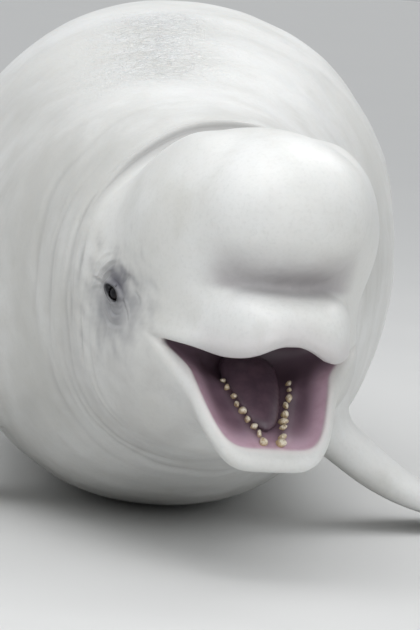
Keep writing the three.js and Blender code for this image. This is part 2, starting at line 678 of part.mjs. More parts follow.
// The flippers, as rings out along their length: share of the length, half chord, half thickness.
const flipperPlan = [
  [0, 70, 30], [0.15, 76, 30], [0.32, 88, 27], [0.5, 100, 23], [0.66, 104, 19], [0.8, 96, 16], [0.9, 78, 13],
  [0.96, 55, 10], [0.99, 30, 7], [1, 12, 4],
];
const flipper = { root: [272, 905, 196], elbow: [428, 985, 66], tip: [592, 1150, 13], rootTilt: 0.45 };
const flipperRing = 18;
function flipperForm(side) {
  const path = new THREE.QuadraticBezierCurve3(
    ...[flipper.root, flipper.elbow, flipper.tip].map(([x, s, z]) => new THREE.Vector3(side * x, s, z)),
  );
  const rings = flipperPlan.map(([share, half, thick]) => {
    const centre = path.getPoint(share);
    const out = path.getTangent(share);
    const tilt = flipper.rootTilt * (1 - smoothstep(0, 0.75, share));
    const forward = new THREE.Vector3(0, -Math.cos(tilt), -Math.sin(tilt));
    const chord = forward.clone().addScaledVector(out, -forward.dot(out)).normalize();
    const up = new THREE.Vector3().crossVectors(chord, out).multiplyScalar(side).normalize();
    const ring = [];
    for (let i = 0; i < flipperRing; i++) {
      const angle = (-side * 2 * Math.PI * i) / flipperRing;
      const along = Math.cos(angle);
      const rise = Math.sin(angle) * (1 + 0.35 * along) * thick;
      ring.push(centre.clone().addScaledVector(chord, along * half).addScaledVector(up, rise).toArray());
    }
    return ring;
  });
  return ringSolid(rings).intersect(floorUp);
}
const flippers = [1, -1].map((side) => clearOf(flipperForm(side), chest));

function meshOf(name, solid, material) {
  const { numProp, vertProperties, triVerts } = solid.getMesh();
  const positions = new Float32Array((vertProperties.length / numProp) * 3);
  for (let i = 0; i < positions.length / 3; i++)
    positions.set(vertProperties.subarray(i * numProp, i * numProp + 3), i * 3);
  const geometry = new THREE.BufferGeometry();
  geometry.setAttribute("position", new THREE.BufferAttribute(positions, 3));
  geometry.setIndex(new THREE.BufferAttribute(new Uint32Array(triVerts), 1));
  const mesh = new THREE.Mesh(geometry, new THREE.MeshStandardMaterial(material));
  mesh.name = name;
  return mesh;
}

const skin = { color: 0xdcdcd6, roughness: 0.4, metalness: 0 };
const mouthSkin = { color: 0x6a4d5a, roughness: 0.35, metalness: 0 };
const eyeDark = { color: 0x241f22, roughness: 0.15, metalness: 0 };

const whale = new THREE.Group();
for (const [name, solid, material] of [
  ["head", head, skin],
  ["lower_jaw", lowerJaw, skin],
  ["tongue", tongueSolid, mouthSkin],
  ["eye_left", eyeball(1), eyeDark],
  ["eye_right", eyeball(-1), eyeDark],
  ["neck", neck, skin],
  ["chest", chest, skin],
  ["trunk", trunk, skin],
  ["tail_stock", tailStock, skin],
  ["fluke_left", flukes[0], skin],
  ["fluke_right", flukes[1], skin],
  ["flipper_left", flippers[0], skin],
  ["flipper_right", flippers[1], skin],
])
  whale.add(meshOf(name, solid, material));
export default whale;
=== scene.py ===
import math
from itertools import product

import bpy
import numpy as np
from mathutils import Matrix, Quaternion, Vector


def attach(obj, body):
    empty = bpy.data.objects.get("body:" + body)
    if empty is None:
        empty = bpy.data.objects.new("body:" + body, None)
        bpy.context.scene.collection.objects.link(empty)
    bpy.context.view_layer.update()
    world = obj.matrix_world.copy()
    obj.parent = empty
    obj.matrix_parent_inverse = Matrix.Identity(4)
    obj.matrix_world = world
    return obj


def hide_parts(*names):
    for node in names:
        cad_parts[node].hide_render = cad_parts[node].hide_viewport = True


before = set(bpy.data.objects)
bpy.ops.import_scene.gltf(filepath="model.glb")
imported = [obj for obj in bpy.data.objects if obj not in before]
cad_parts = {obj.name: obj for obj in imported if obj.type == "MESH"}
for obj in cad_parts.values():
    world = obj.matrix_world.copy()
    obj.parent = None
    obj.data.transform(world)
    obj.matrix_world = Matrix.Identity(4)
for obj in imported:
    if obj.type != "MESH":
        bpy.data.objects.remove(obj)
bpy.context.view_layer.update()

# Driving sizes, as in the solids
BODY_LENGTH = 3900
REST_STATION = 1900
HEAD_TURN = math.radians(19)
GAPE = math.radians(50)
TURN_PIVOT = 640
MOUTH_HEIGHT = 385
NECK_GROOVE = 402
CORNER_A, CORNER_C = 203, -13
MM = 0.001


# Small maths
def smoothstep(start, end, t):
    u = np.clip((t - start) / (end - start), 0, 1)
    return u * u * (3 - 2 * u)


def join(a, b, width):
    h = np.maximum(width - np.abs(a - b), 0) / width
    return np.minimum(a, b) - h * h * width / 4


def carve(a, b, width):
    return -join(-a, b, width)


def within(a, b, width):
    return -join(-a, -b, width)


def bump(t):
    return np.exp(-t * t)


def band(at, height, middle, half):
    return height * bump((at - middle) / half)


def between(ends, share):
    return ends[0] + (ends[1] - ends[0]) * share


def line(pairs):
    """A smooth line through (station, value) pairs, as a function."""
    s, v = np.array(pairs, float).T
    n = np.arange(len(s))
    j, k = np.maximum(n - 1, 0), np.minimum(n + 1, len(s) - 1)
    slope = (v[k] - v[j]) / (s[k] - s[j])
    fine = np.arange(s[0], s[-1] + 1, 2.0)
    i = np.clip(np.searchsorted(s, fine, side="right") - 1, 0, len(s) - 2)
    span = s[i + 1] - s[i]
    t = (fine - s[i]) / span
    t2, t3 = t * t, t * t * t
    value = (2 * t3 - 3 * t2 + 1) * v[i] + (t3 - 2 * t2 + t) * span * slope[i]
    value += (3 * t2 - 2 * t3) * v[i + 1] + (t3 - t2) * span * slope[i + 1]
    return lambda at: np.interp(at, fine, value)


def lines_through(rows):
    """A smooth line for each column of the rows after the first, which is the station."""
    return [line([(row[0], row[k]) for row in rows]) for k in range(1, len(rows[0]))]


def form(p, centre, radii, power=2.0, plan=0.0, taper=0.0):
    """About the distance to a rounded form, which may have another power from above, and narrow by taper."""
    plan = plan or power
    along = (p[0] - centre[0]) / radii[0]
    width = radii[1] * (1 + np.minimum(taper * np.clip(along, -1.2, 1.2), 0))
    u, v, w = np.abs(along), np.abs(p[1] - centre[1]) / width, np.abs(p[2] - centre[2]) / radii[2]
    r = np.maximum(u**plan + v**plan, 1e-9) ** (1 / plan)
    q = np.maximum(r**power + w**power, 1e-9) ** (1 / power)
    level = ((u / r) ** (plan - 1) / radii[0]) ** 2 + ((v / r) ** (plan - 1) / width) ** 2
    steep = (r / q) ** (2 * power - 2) * level + ((w / q) ** (power - 1) / radii[2]) ** 2
    return (q - 1) / np.sqrt(steep)


# The body
BODY_ROWS = [  # station, heights of the back and the belly, half width
    (350, 685, 180, 258), (450, 713, 144, 256), (550, 726, 108, 268), (760, 758, 46, 314),
    (1000, 795, 4, 362), (1300, 836, -16, 402), (1650, 858, -22, 416), (2000, 838, -18, 395),
    (2350, 768, 0, 341), (2700, 640, 14, 268), (3050, 476, 24, 187), (3400, 310, 28, 110),
    (3650, 196, 22, 64), (3850, 106, 12, 40), (3920, 70, 10, 30),
]
back_line, belly_line, flank_line = lines_through(BODY_ROWS)
SECTION_POWER = 2.15
NECK_FRONT = 398  # back from the tip of the upper jaw
HIGH_HEAD = (170, 285)  # heights above the upper lip between which the neck comes to fold over the head
NECK_ROUND = (150, 32)  # how softly the body ends at the neck, low and high on the head
TAIL_INSET, TAIL_ROUND = 15, 20  # how far ahead of the notch the body ends, and how softly
BEND_START, BEND_STRENGTH = 820, 4.6e-4
RIDGE_FROM, RIDGE_TO, RIDGE_HEIGHT, RIDGE_HALF, RIDGE_NOTCHES = 1900, 2640, 18, 19, 6


def spine_shift(s):
    return BEND_STRENGTH * np.maximum(BEND_START - s, 0) ** 2


def ridge_height(s):
    rise = smoothstep(RIDGE_FROM, RIDGE_FROM + 330, s) * (1 - smoothstep(RIDGE_TO - 260, RIDGE_TO, s))
    along = (s - RIDGE_FROM) / (RIDGE_TO - RIDGE_FROM) * RIDGE_NOTCHES * math.pi
    return RIDGE_HEIGHT * rise * (0.8 + 0.2 * np.cos(2 * along))


def body_field(x, s, z):
    top, bottom, half = back_line(s), belly_line(s), flank_line(s)
    middle = (top + bottom) / 2
    side = x - spine_shift(s)
    u, w = np.abs(side) / half, np.abs(z - middle) / ((top - bottom) / 2)
    q = np.maximum(u**SECTION_POWER + w**SECTION_POWER, 1e-9) ** (1 / SECTION_POWER)
    steep = ((u / q) ** (SECTION_POWER - 1) / half) ** 2
    steep += ((w / q) ** (SECTION_POWER - 1) * 2 / (top - bottom)) ** 2
    ridge = np.where(z > middle, ridge_height(s) * bump(side / RIDGE_HALF), 0)
    ended = within((q - 1) / np.sqrt(steep) - ridge, s - (BODY_LENGTH - TAIL_INSET), TAIL_ROUND)
    a, _, c = to_head(x, s, z)
    return within(ended, NECK_FRONT - a, between(NECK_ROUND, smoothstep(*HIGH_HEAD, c)))


# The head
COS_TURN, SIN_TURN = math.cos(HEAD_TURN), math.sin(HEAD_TURN)
COS_GAPE, SIN_GAPE = math.cos(GAPE), math.sin(GAPE)


def to_head(x, s, z):
    back = s - TURN_PIVOT
    return TURN_PIVOT - x * SIN_TURN + back * COS_TURN, x * COS_TURN + back * SIN_TURN, z - MOUTH_HEIGHT


def from_head(a, b, c):
    back = a - TURN_PIVOT
    return b * COS_TURN - back * SIN_TURN, TURN_PIVOT + b * SIN_TURN + back * COS_TURN, MOUTH_HEIGHT + c


def to_jaw(a, b, c):
    ahead, up = CORNER_A - a, c - CORNER_C
    return ahead * COS_GAPE - up * SIN_GAPE, b, ahead * SIN_GAPE + up * COS_GAPE


def from_jaw(u, b, w):
    ahead, up = u * COS_GAPE + w * SIN_GAPE, -u * SIN_GAPE + w * COS_GAPE
    return from_head(CORNER_A - ahead, b, CORNER_C + up)


def upper_lip(a, b):
    return 2 - 26 * smoothstep(8, 88, np.abs(b + 10)) + 11 * smoothstep(80, CORNER_A, a)


MELON = ((182, 0, 202), (182, 154, 127), 2.1)
CRANIUM = ((430, 0, 60), (235, 230, 236), 2.1)
TEMPLE = ((270, 0, 150), (150, 190, 150), 2.05)
BEAK = ((180, 0, 16), (180, 148, 72), 3.2, 5, 0.42)
CHEEK = ((278, 0, -45), (112, 190, 116), 2.2)
THROAT = ((400, 0, -68), (215, 205, 150), 2.1)
JAW = ((8, 0, -14), (222, 143, 60), 2.4, 5, -0.38)
TROUGH = ((0, 0, 4), (199, 129, 34), 2.1, 6.5, -0.36)
CORNER_FLARE = 0.2  # how much wider the hollow is at the corners of the mouth
TROUGH_BACK = -12
THROAT_ROUND, PALATE_JOIN, LIP_EDGE, OPENING_JOIN, MOUTH_EDGE = 30, 14, 6, 10, 12
GUM_HEIGHT, GUM_HALF = 8, 12  # the low ridges of gum that carry the teeth
GULLET = ((208, 0, -38), (52, 84, 40), 2.3)
PALATE = ((128, 0, -22), (108, 84, 38), 2.2, 2.6, 0.3)
ROW_FRONT, ROW_BACK = (187, 13), (60, 58)
ROW_SPREAD = (ROW_BACK[1] - ROW_FRONT[1]) / (ROW_FRONT[0] - ROW_BACK[0])


def row_offset(u):
    return ROW_FRONT[1] + (ROW_FRONT[0] - u) * ROW_SPREAD


def flare(u):
    return 1 + CORNER_FLARE * smoothstep(62, -5, u)


def hollow_field(head, jawed):
    """The hollow of the mouth inside the lips."""
    u, b, w = jawed
    gum = band(np.abs(b), GUM_HEIGHT, row_offset(u), GUM_HALF)
    gum = gum * smoothstep(20, 70, u) * smoothstep(205, 165, u)
    trough = within(form((u, b / flare(u), w), *TROUGH) + gum, TROUGH_BACK - u, THROAT_ROUND)
    return join(join(form(head, *GULLET), trough, THROAT_ROUND), form(head, *PALATE), PALATE_JOIN)


def mouth_field(head, jawed):
    a, b, c = head
    opening = within(c - upper_lip(a, b), -jawed[2], LIP_EDGE)
    return join(opening, hollow_field(head, jawed), OPENING_JOIN)


LIP_SWELL = 4
UPPER_LIP, LOWER_LIP = (15, 13), (-14, 11)  # the middle and the half width of each lip's swelling
SKULL_JOIN, FACE_JOIN, CHEEK_JOIN, THROAT_JOIN, CHIN_JOIN = 60, 70, 60, 70, 50
MELON_JOIN = (20, 60, 50)  # at the front, with more behind and more at the sides
NECK_JOIN = (76, 20)  # low on the head, and where the neck folds over it
GROOVE_DEPTH, GROOVE_WIDTH = (2, 11), (20, 16)  # likewise


def flesh_field(x, s, z):
    """The head and the body before the mouth is cut."""
    head = to_head(x, s, z)
    jawed = to_jaw(*head)
    a, b, c = head
    lips = LIP_SWELL * bump((c - upper_lip(a, b) - UPPER_LIP[0]) / UPPER_LIP[1]) * smoothstep(230, 120, a)
    skull = join(form(head, *CRANIUM), form(head, *TEMPLE), SKULL_JOIN)
    face = join(skull, form(head, *BEAK) - lips, FACE_JOIN)
    front, behind, beside = MELON_JOIN
    blend = front + behind * smoothstep(70, 210, a) + beside * smoothstep(60, 130, np.abs(b))
    upper = join(face, form(head, *MELON), blend)
    lower_lips = LIP_SWELL * bump((jawed[2] - LOWER_LIP[0]) / LOWER_LIP[1]) * smoothstep(30, 120, jawed[0])
    lower = join(form(jawed, *JAW) - lower_lips, form(head, *THROAT), THROAT_JOIN)
    flesh = join(join(upper, form(head, *CHEEK), CHEEK_JOIN), lower, CHIN_JOIN)
    high = smoothstep(*HIGH_HEAD, c)
    groove = between(GROOVE_DEPTH, high) * bump((a - NECK_GROOVE) / between(GROOVE_WIDTH, high))
    return join(flesh, body_field(x, s, z), between(NECK_JOIN, high)) + groove


def head_field(x, s, z):
    head = to_head(x, s, z)
    return carve(flesh_field(x, s, z), mouth_field(head, to_jaw(*head)), MOUTH_EDGE)


# The flukes, by sections across the span, thickest ahead of their middle
FLUKE_ROWS = [  # out from the midline, the stations of the front and rear edge, thickness
    (0, 3590, 3896, 60), (50, 3612, 3925, 54), (105, 3645, 3958, 46), (165, 3682, 3982, 39),
    (230, 3724, 3990, 32), (300, 3770, 3980, 26), (370, 3818, 3956, 20), (425, 3858, 3932, 14),
    (458, 3886, 3918, 9), (472, 3900, 3909, 4),
]
fluke_front, fluke_back, fluke_thick = lines_through(FLUKE_ROWS)
FLUKE_SPAN = FLUKE_ROWS[-1][0]
LEADING_BULK = 0.35  # how much thicker a fin is ahead of its middle
FLUKE_LIFT = 0.42  # the middle of a fluke, as a share of its thickness, above the floor
FIN_ROUND = 8


def fluke_field(x, s, z):
    out = np.abs(x)
    front, back, thick = fluke_front(out), fluke_back(out), fluke_thick(out)
    half = (back - front) / 2
    along = np.clip((s - front - half) / half, -1.5, 1.5)
    deep = 0.5 * thick * (1 - LEADING_BULK * along)
    u, w = np.abs(s - front - half) / half, np.abs(z - FLUKE_LIFT * thick) / deep
    q = np.maximum(np.sqrt(u * u + w * w), 1e-6)
    steep = np.sqrt((u / half) ** 2 + (w / deep) ** 2) / q
    return within((q - 1) / steep, out - FLUKE_SPAN + 2, FIN_ROUND)


# The flippers, by sections along a bent path
FLIPPER_ROWS = [  # share of the path, half chord, half thickness
    (0, 70, 30), (0.15, 76, 30), (0.32, 88, 27), (0.5, 100, 23), (0.66, 104, 19),
    (0.8, 96, 16), (0.9, 78, 13), (0.96, 55, 10), (0.99, 30, 7), (1, 12, 4),
]
FLIPPER_PATH = np.array([(272, 905, 196), (428, 985, 66), (592, 1150, 13)], float)
FLIPPER_TILT = 0.45
PATH_STEPS = 121


def flipper_frames():
    """Points of the path, with the ways out, forward and up and the half chord and thickness there."""
    t = np.linspace(0, 1, PATH_STEPS)[:, None]
    p0, p1, p2 = FLIPPER_PATH
    centre = (1 - t) ** 2 * p0 + 2 * t * (1 - t) * p1 + t * t * p2
    out = (1 - t) * (p1 - p0) + t * (p2 - p1)
    out /= np.linalg.norm(out, axis=1, keepdims=True)
    tilt = FLIPPER_TILT * (1 - smoothstep(0, 0.75, t))
    forward = np.concatenate([0 * t, -np.cos(tilt), -np.sin(tilt)], axis=1)
    chord = forward - out * (forward * out).sum(1, keepdims=True)
    chord /= np.linalg.norm(chord, axis=1, keepdims=True)
    up = np.cross(chord, out)
    share, half, thick = np.array(FLIPPER_ROWS).T
    half, thick = (np.interp(t[:, 0], share, column) for column in (half, thick))
    return centre, out, chord, up, half, thick


FLIPPER = flipper_frames()


def flipper_field(x, s, z):
    centre, out, chord, up, half, thick = FLIPPER
    p = np.stack([np.abs(x), s, z], axis=1)
    apart = (p * p).sum(1)[:, None] - 2 * p @ centre.T + (centre * centre).sum(1)[None]
    i = np.clip(apart.argmin(1), 1, PATH_STEPS - 2)
    rows = np.arange(len(p))
    before, at, after = (apart[rows, i + k] for k in (-1, 0, 1))
    bend = np.maximum(before - 2 * at + after, 1e-6)
    share = i + np.clip(0.5 * (before - after) / bend, -1, 1)
    low = np.clip(share.astype(int), 0, PATH_STEPS - 2)
    mix = (share - low)[:, None]
    pick = lambda rows_of: rows_of[low] * (1 - mix) + rows_of[low + 1] * mix
    away = p - pick(centre)
    half, thick = pick(half[:, None])[:, 0], pick(thick[:, None])[:, 0]
    along = (away * pick(chord)).sum(1)
    rise = (away * pick(up)).sum(1)
    beyond = (away * pick(out)).sum(1)
    full = thick * (1 + LEADING_BULK * np.clip(along / half, -1.5, 1.5))
    u, w = along / half, rise / full
    q = np.maximum(np.sqrt(u * u + w * w), 1e-6)
    steep = np.sqrt((u / half) ** 2 + (w / full) ** 2) / q
    return within((q - 1) / steep, beyond - 3, FIN_ROUND)


# The eyes and the blowhole
EYE_A, EYE_C = 320, 44
EYE_RADIUS, EYE_DEPTH = 17, 14
EYE_TILT = 0.56  # the eye's slit runs down to the front
EYE_SLIT = ((0, 0, 4), (19, 7.4, 15), 1.9)
EYE_MOUND = (4.5, 20)  # how far the skin swells round the eye, and how wide
LID_GROOVE, LID_RIM = (2.0, 19.5, 3.2), (2.6, 12.0, 3.2)  # height, distance round the slit, half width
EYE_GAP = 0.4
BLOW_A, BLOW_WIDTH, BLOW_SWEEP, BLOW_OPENING, BLOW_DEPTH = 372, 66, 0.95, 6, 26
BLOW_RADIUS = BLOW_WIDTH / 2 / math.sin(BLOW_SWEEP)
BLOW_LIP, BLOW_MOAT = (3.5, 0, 15), (2.2, 24, 6)  # height, distance from the slit, half width


def gradient(field, points, e=0.5):
    sides = [field(*(points + step).T) - field(*(points - step).T) for step in np.eye(3) * e]
    return np.stack(sides, axis=1) / (2 * e)


def eye_frame(side):
    """The middle of the eye on the skin, with the directions back, up and out of the skin there."""
    b = np.arange(120.0, 300.0, 0.5)
    inside = head_field(*from_head(np.full_like(b, EYE_A), side * b, np.full_like(b, EYE_C))) < 0
    point = np.array(from_head(EYE_A, side * b[inside][-1], EYE_C))
    out = gradient(head_field, point[None])[0]
    out /= np.linalg.norm(out)
    back = np.array([-SIN_TURN, COS_TURN, 0])
    back -= out * (back @ out)
    back /= np.linalg.norm(back)
    up = np.cross(back, out) * (1 if side < 0 else -1)
    return point, back, up if up[2] > 0 else -up, out


EYES = {side: eye_frame(side) for side in (1, -1)}


def crown_height():
    c = np.arange(200.0, 400.0)
    a = np.full_like(c, BLOW_A)
    return c[head_field(*from_head(a, 0 * c, c)) < 0][-1]


CROWN = crown_height()


def in_eye(p, side):
    """How far points lie back from the eye, above it and out of the skin there."""
    point, back, up, out = EYES[side]
    away = p - point
    return away @ back, away @ up, away @ out


def in_slit(u, v):
    return u * math.cos(EYE_TILT) + v * math.sin(EYE_TILT), -u * math.sin(EYE_TILT) + v * math.cos(EYE_TILT)


EYE_FOLDS = [  # where a fold starts and ends, back and up from the eye, how far it bows, depth, half width
    (38, 12, 2, 50, 8, 2.6, 3.0), (30, 6, 2, 36, 6, 2.2, 2.6), (46, 24, 14, 62, 9, 1.6, 3.6),
    (-26, -8, -54, -38, 3, 3.0, 2.8), (-60, 8, -80, -12, 3, 1.5, 3.2), (6, -22, -30, -30, 6, 2.2, 3.2),
    (22, -32, -40, -46, 9, 1.6, 4.0), (28, 10, 54, 17, 3, 2.0, 2.6), (30, 4, 58, -2, 2, 1.5, 2.8),
    (-20, 15, -46, 34, 5, 1.5, 3.2),
]


def eye_folds(u, v):
    total = np.zeros(len(u))
    for u0, v0, u1, v1, bow, depth, half in EYE_FOLDS:
        run = math.hypot(u1 - u0, v1 - v0)
        mid_u, mid_v = (u0 + u1) / 2, (v0 + v1) / 2
        way_u, way_v = (u1 - u0) / run, (v1 - v0) / run
        outward = 1 if way_u * mid_v - way_v * mid_u > 0 else -1
        along = ((u - mid_u) * way_u + (v - mid_v) * way_v) / (run / 2)
        off = outward * ((v - mid_v) * way_u - (u - mid_u) * way_v) - bow * (1 - np.minimum(along**2, 2))
        total += depth * (bump(off / half) - 0.6 * bump((off - 1.9 * half) / half)) * bump(along**2)
    return total


def eye_work(value, p, side):
    """The lids round one eye, the folds beside them and the opening between them."""
    near = np.linalg.norm(p - EYES[side][0], axis=1) < 130
    if not near.any():
        return value
    u, v, w = in_eye(p[near], side)
    along, across = in_slit(u, v)
    around = np.hypot(along / 1.7, across)
    made = value[near] - EYE_MOUND[0] * bump(around / EYE_MOUND[1]) + eye_folds(u, v)
    made += band(around, *LID_GROOVE) - band(around, *LID_RIM)
    ball = np.sqrt(u * u + v * v + (w + EYE_DEPTH) ** 2) - EYE_RADIUS - EYE_GAP
    made = carve(carve(made, form((along, across, w), *EYE_SLIT), 4), ball, 1.0)
    value = value.copy()
    value[near] = made
    return value


def blowhole_work(value, p):
    a, b, c = to_head(*p.T)
    near = (np.abs(a - BLOW_A) < 110) & (np.abs(b) < 110) & (c > CROWN - 60)
    if not near.any():
        return value
    a, b, c = a[near], b[near], c[near]
    forward = a - BLOW_A + BLOW_RADIUS
    angle = np.arctan2(b, forward)
    reach = np.hypot(forward, b) - BLOW_RADIUS
    ends = np.clip(1 - (np.abs(angle) / BLOW_SWEEP) ** 2, 0, 1)
    width = BLOW_OPENING / 2 * np.sqrt(ends) + 0.3
    past = np.maximum(np.abs(angle) - BLOW_SWEEP, 0) * BLOW_RADIUS
    off = np.hypot(reach + 1.5, past)
    made = value[near] - band(off, *BLOW_LIP) * smoothstep(1.3, 0.7, np.abs(angle)) + band(off, *BLOW_MOAT)
    slit = within(off - width, CROWN - BLOW_DEPTH - c, 6)
    value = value.copy()
    value[near] = carve(made, slit, 5)
    return value


# The whole skin
FLOOR_ROUND, FLIPPER_JOIN, FLUKE_JOIN = 12, 45, 40


def skin_field(x, s, z):
    value = body_field(x, s, z)
    ahead = s < 900
    if ahead.any():
        value[ahead] = head_field(x[ahead], s[ahead], z[ahead])
        p = np.stack([x[ahead], s[ahead], z[ahead]], axis=1)
        value[ahead] = blowhole_work(eye_work(eye_work(value[ahead], p, 1), p, -1), p)
    wing = (s > 780) & (s < 1320) & (np.abs(x) > 170) & (z < 330)
    if wing.any():
        value[wing] = join(value[wing], flipper_field(x[wing], s[wing], z[wing]), FLIPPER_JOIN)
    tail = (s > 3450) & (z < 200)
    if tail.any():
        value[tail] = join(value[tail], fluke_field(x[tail], s[tail], z[tail]), FLUKE_JOIN)
    return within(value, -z, FLOOR_ROUND)


# Surfaces
BLOCK = 4  # how many cells of the grid go into one of the coarse grid, along each axis
CORNERS = list(product((0, 1), repeat=3))
SQUARE = [(0, 0), (1, 0), (1, 1), (0, 1)]
AXES = np.eye(3, dtype=int)


def grid_lines(stretches):
    lines = [float(stretches[0][0])]
    for start, end, size in stretches:
        steps = max(1, round((end - start) / size))
        lines += [start + (end - start) * i / steps for i in range(1, steps + 1)]
    while len(lines) % BLOCK != 1:
        lines.append(lines[-1] + stretches[-1][2])
    return np.array(lines)


def in_parts(work, p, size=200000):
    """The work done on some of the points at a time, to spare memory."""
    return np.concatenate([work(p[i : i + size]) for i in range(0, len(p), size)])


def at_corner(grid, corner):
    """The grid's values at one corner of each of its cells."""
    return grid[tuple(slice(k, n - 1 + k) for k, n in zip(corner, grid.shape))]


def grid_values(field, lines):
    """The field at the crossings of the grid lines near the surface, and only its sign elsewhere."""
    coarse = [axis[::BLOCK] for axis in lines]
    mesh = np.stack([g.ravel() for g in np.meshgrid(*coarse, indexing="ij")], axis=1)
    rough = in_parts(lambda p: field(*p.T), mesh).reshape([len(axis) for axis in coarse])
    corners = np.array([at_corner(rough, corner) for corner in CORNERS])
    mixed = (corners.min(0) < 0) & (corners.max(0) >= 0)
    dx, dy, dz = (np.diff(axis) for axis in coarse)
    across = np.sqrt(dx[:, None, None] ** 2 + dy[None, :, None] ** 2 + dz[None, None, :] ** 2)
    near = mixed | (np.abs(corners).min(0) < 1.5 * across)
    shape = [len(axis) for axis in lines]
    wanted = np.zeros(shape, bool)
    for first in product(range(BLOCK + 1), repeat=3):
        wanted[tuple(slice(k, k + BLOCK * n, BLOCK) for k, n in zip(first, near.shape))] |= near
    pick = [np.minimum((np.arange(n) + BLOCK // 2) // BLOCK, rough.shape[m] - 1) for m, n in enumerate(shape)]
    values = np.where(rough[np.ix_(*pick)] < 0, -1e3, 1e3).astype(np.float32)
    where = np.nonzero(wanted)
    points = np.stack([lines[m][where[m]] for m in range(3)], axis=1)
    values[where] = in_parts(lambda p: field(*p.T), points)
    return values


def clear_diagonals(values):
    """Changes a corner of each square that is inside at two opposite corners only: its sheets would touch."""
    for _ in range(20):
        found = 0
        for m, n in ((1, 2), (0, 2), (0, 1)):
            def shifted(i, j):
                at = [slice(None)] * 3
                at[m] = slice(i, values.shape[m] - 1 + i)
                at[n] = slice(j, values.shape[n] - 1 + j)
                return values[tuple(at)] < 0

            v0, v1, v2, v3 = (shifted(i, j) for i, j in SQUARE)
            for cell in np.argwhere((v0 == v2) & (v1 == v3) & (v0 != v1)):
                square = [tuple(cell + i * AXES[m] + j * AXES[n]) for i, j in SQUARE]
                at = min(square, key=lambda index: abs(values[index]))
                values[at] = 0.01 if values[at] < 0 else -0.01
                found += 1
        if not found:
            return


def net_surface(field, lines):
    """The closed surface where the field is zero, with one point in each cell that it crosses."""
    values = grid_values(field, lines)
    clear_diagonals(values)
    inside = values < 0
    nx, ny, nz = (n - 1 for n in values.shape)
    count = np.zeros((nx, ny, nz), np.int8)
    for corner in CORNERS:
        count += at_corner(inside, corner)
    crossed = (count > 0) & (count < 8)
    cells = np.argwhere(crossed)
    ids = np.full(crossed.shape, -1, np.int32)
    ids[crossed] = np.arange(len(cells))
    v = {o: values[cells[:, 0] + o[0], cells[:, 1] + o[1], cells[:, 2] + o[2]].astype(float) for o in CORNERS}
    total, hits = np.zeros((len(cells), 3)), np.zeros(len(cells))
    for o in CORNERS:
        for m in range(3):
            if o[m]:
                continue
            far = tuple(1 if n == m else o[n] for n in range(3))
            change = (v[o] < 0) != (v[far] < 0)
            t = np.where(change, v[o] / np.where(change, v[o] - v[far], 1), 0)
            at = np.tile(np.array(o, float), (len(cells), 1))
            at[:, m] = t
            total += at * change[:, None]
            hits += change
    share = total / hits[:, None]
    points = np.stack(
        [lines[m][cells[:, m]] + share[:, m] * np.diff(lines[m])[cells[:, m]] for m in range(3)], axis=1
    )
    triangles = []
    for m, (i, j, k) in enumerate(AXES):
        ring = np.roll([(0, -1, -1), (0, 0, -1), (0, 0, 0), (0, -1, 0)], m, axis=1)
        near = inside[1:nx, 1:ny, 1:nz]
        far = inside[1 + i : nx + i, 1 + j : ny + j, 1 + k : nz + k]
        at = np.argwhere(near != far) + 1
        quad = np.stack([ids[at[:, 0] + o[0], at[:, 1] + o[1], at[:, 2] + o[2]] for o in ring], axis=1)
        outward = inside[at[:, 0], at[:, 1], at[:, 2]]
        quad[~outward] = quad[~outward][:, ::-1]
        p, q, r, t = (points[quad[:, n]] for n in range(4))
        first = ((p - r) ** 2).sum(1) <= ((q - t) ** 2).sum(1)
        pair = np.where(first[:, None], quad[:, [0, 1, 2, 0, 2, 3]], quad[:, [0, 1, 3, 1, 2, 3]])
        triangles.append(pair.reshape(-1, 3))
    return points, np.concatenate(triangles)


def settle(points, field, rounds, reach):
    """Moves points onto the surface, by steps no longer than the reach, and gives the way out of it there."""
    for _ in range(rounds):
        value = in_parts(lambda p: field(*p.T), points)
        slope = in_parts(lambda p: gradient(field, p), points)
        steep = np.sqrt(np.maximum((slope**2).sum(1), 0.05))
        points = points - (np.clip(value / steep, -reach, reach) / steep)[:, None] * slope
    return points, slope / np.linalg.norm(slope, axis=1, keepdims=True).clip(1e-6)


def even_out(points, triangles, share=0.5):
    start = triangles[:, [0, 1, 2]].ravel()
    end = triangles[:, [1, 2, 0]].ravel()
    n = np.bincount(start, minlength=len(points)).clip(1)
    mean = np.stack([np.bincount(start, points[end, k], len(points)) / n for k in range(3)], axis=1)
    return points + (mean - points) * share


def refine(points, triangles, wanted):
    """Splits the edges that are wanted, which gets their two ends, and the triangles beside them."""
    pairs = np.sort(triangles[:, [[0, 1], [1, 2], [2, 0]]], axis=2)
    keys = pairs[..., 0].astype(np.int64) * len(points) + pairs[..., 1]
    unique, index = np.unique(keys, return_inverse=True)
    index = index.reshape(-1, 3)
    ends = np.stack([unique // len(points), unique % len(points)], axis=1)
    split = wanted(points[ends[:, 0]], points[ends[:, 1]])
    made = np.full(len(unique), -1)
    made[split] = len(points) + np.arange(split.sum())
    points = np.concatenate([points, points[ends[split]].mean(1)])
    middle = made[index]
    code = ((middle >= 0) * [1, 2, 4]).sum(1)
    # Turned so that a lone split edge, or a lone whole one, comes first
    turn = np.array([0, 0, 1, 2, 2, 1, 0, 0])[code]
    order = (np.arange(3)[None] + turn[:, None]) % 3
    t, m = np.take_along_axis(triangles, order, 1), np.take_along_axis(middle, order, 1)
    p, q, r = t.T
    pq, qr, rp = m.T
    n = (middle >= 0).sum(1)
    parts = [
        (0, (p, q, r)),
        (1, (p, pq, r)), (1, (pq, q, r)),
        (2, (r, rp, qr)), (2, (rp, p, q)), (2, (rp, q, qr)),
        (3, (p, pq, rp)), (3, (pq, q, qr)), (3, (rp, qr, r)), (3, (pq, qr, rp)),
    ]
    return points, np.concatenate([np.stack([c[n == k] for c in corners], axis=1) for k, corners in parts])


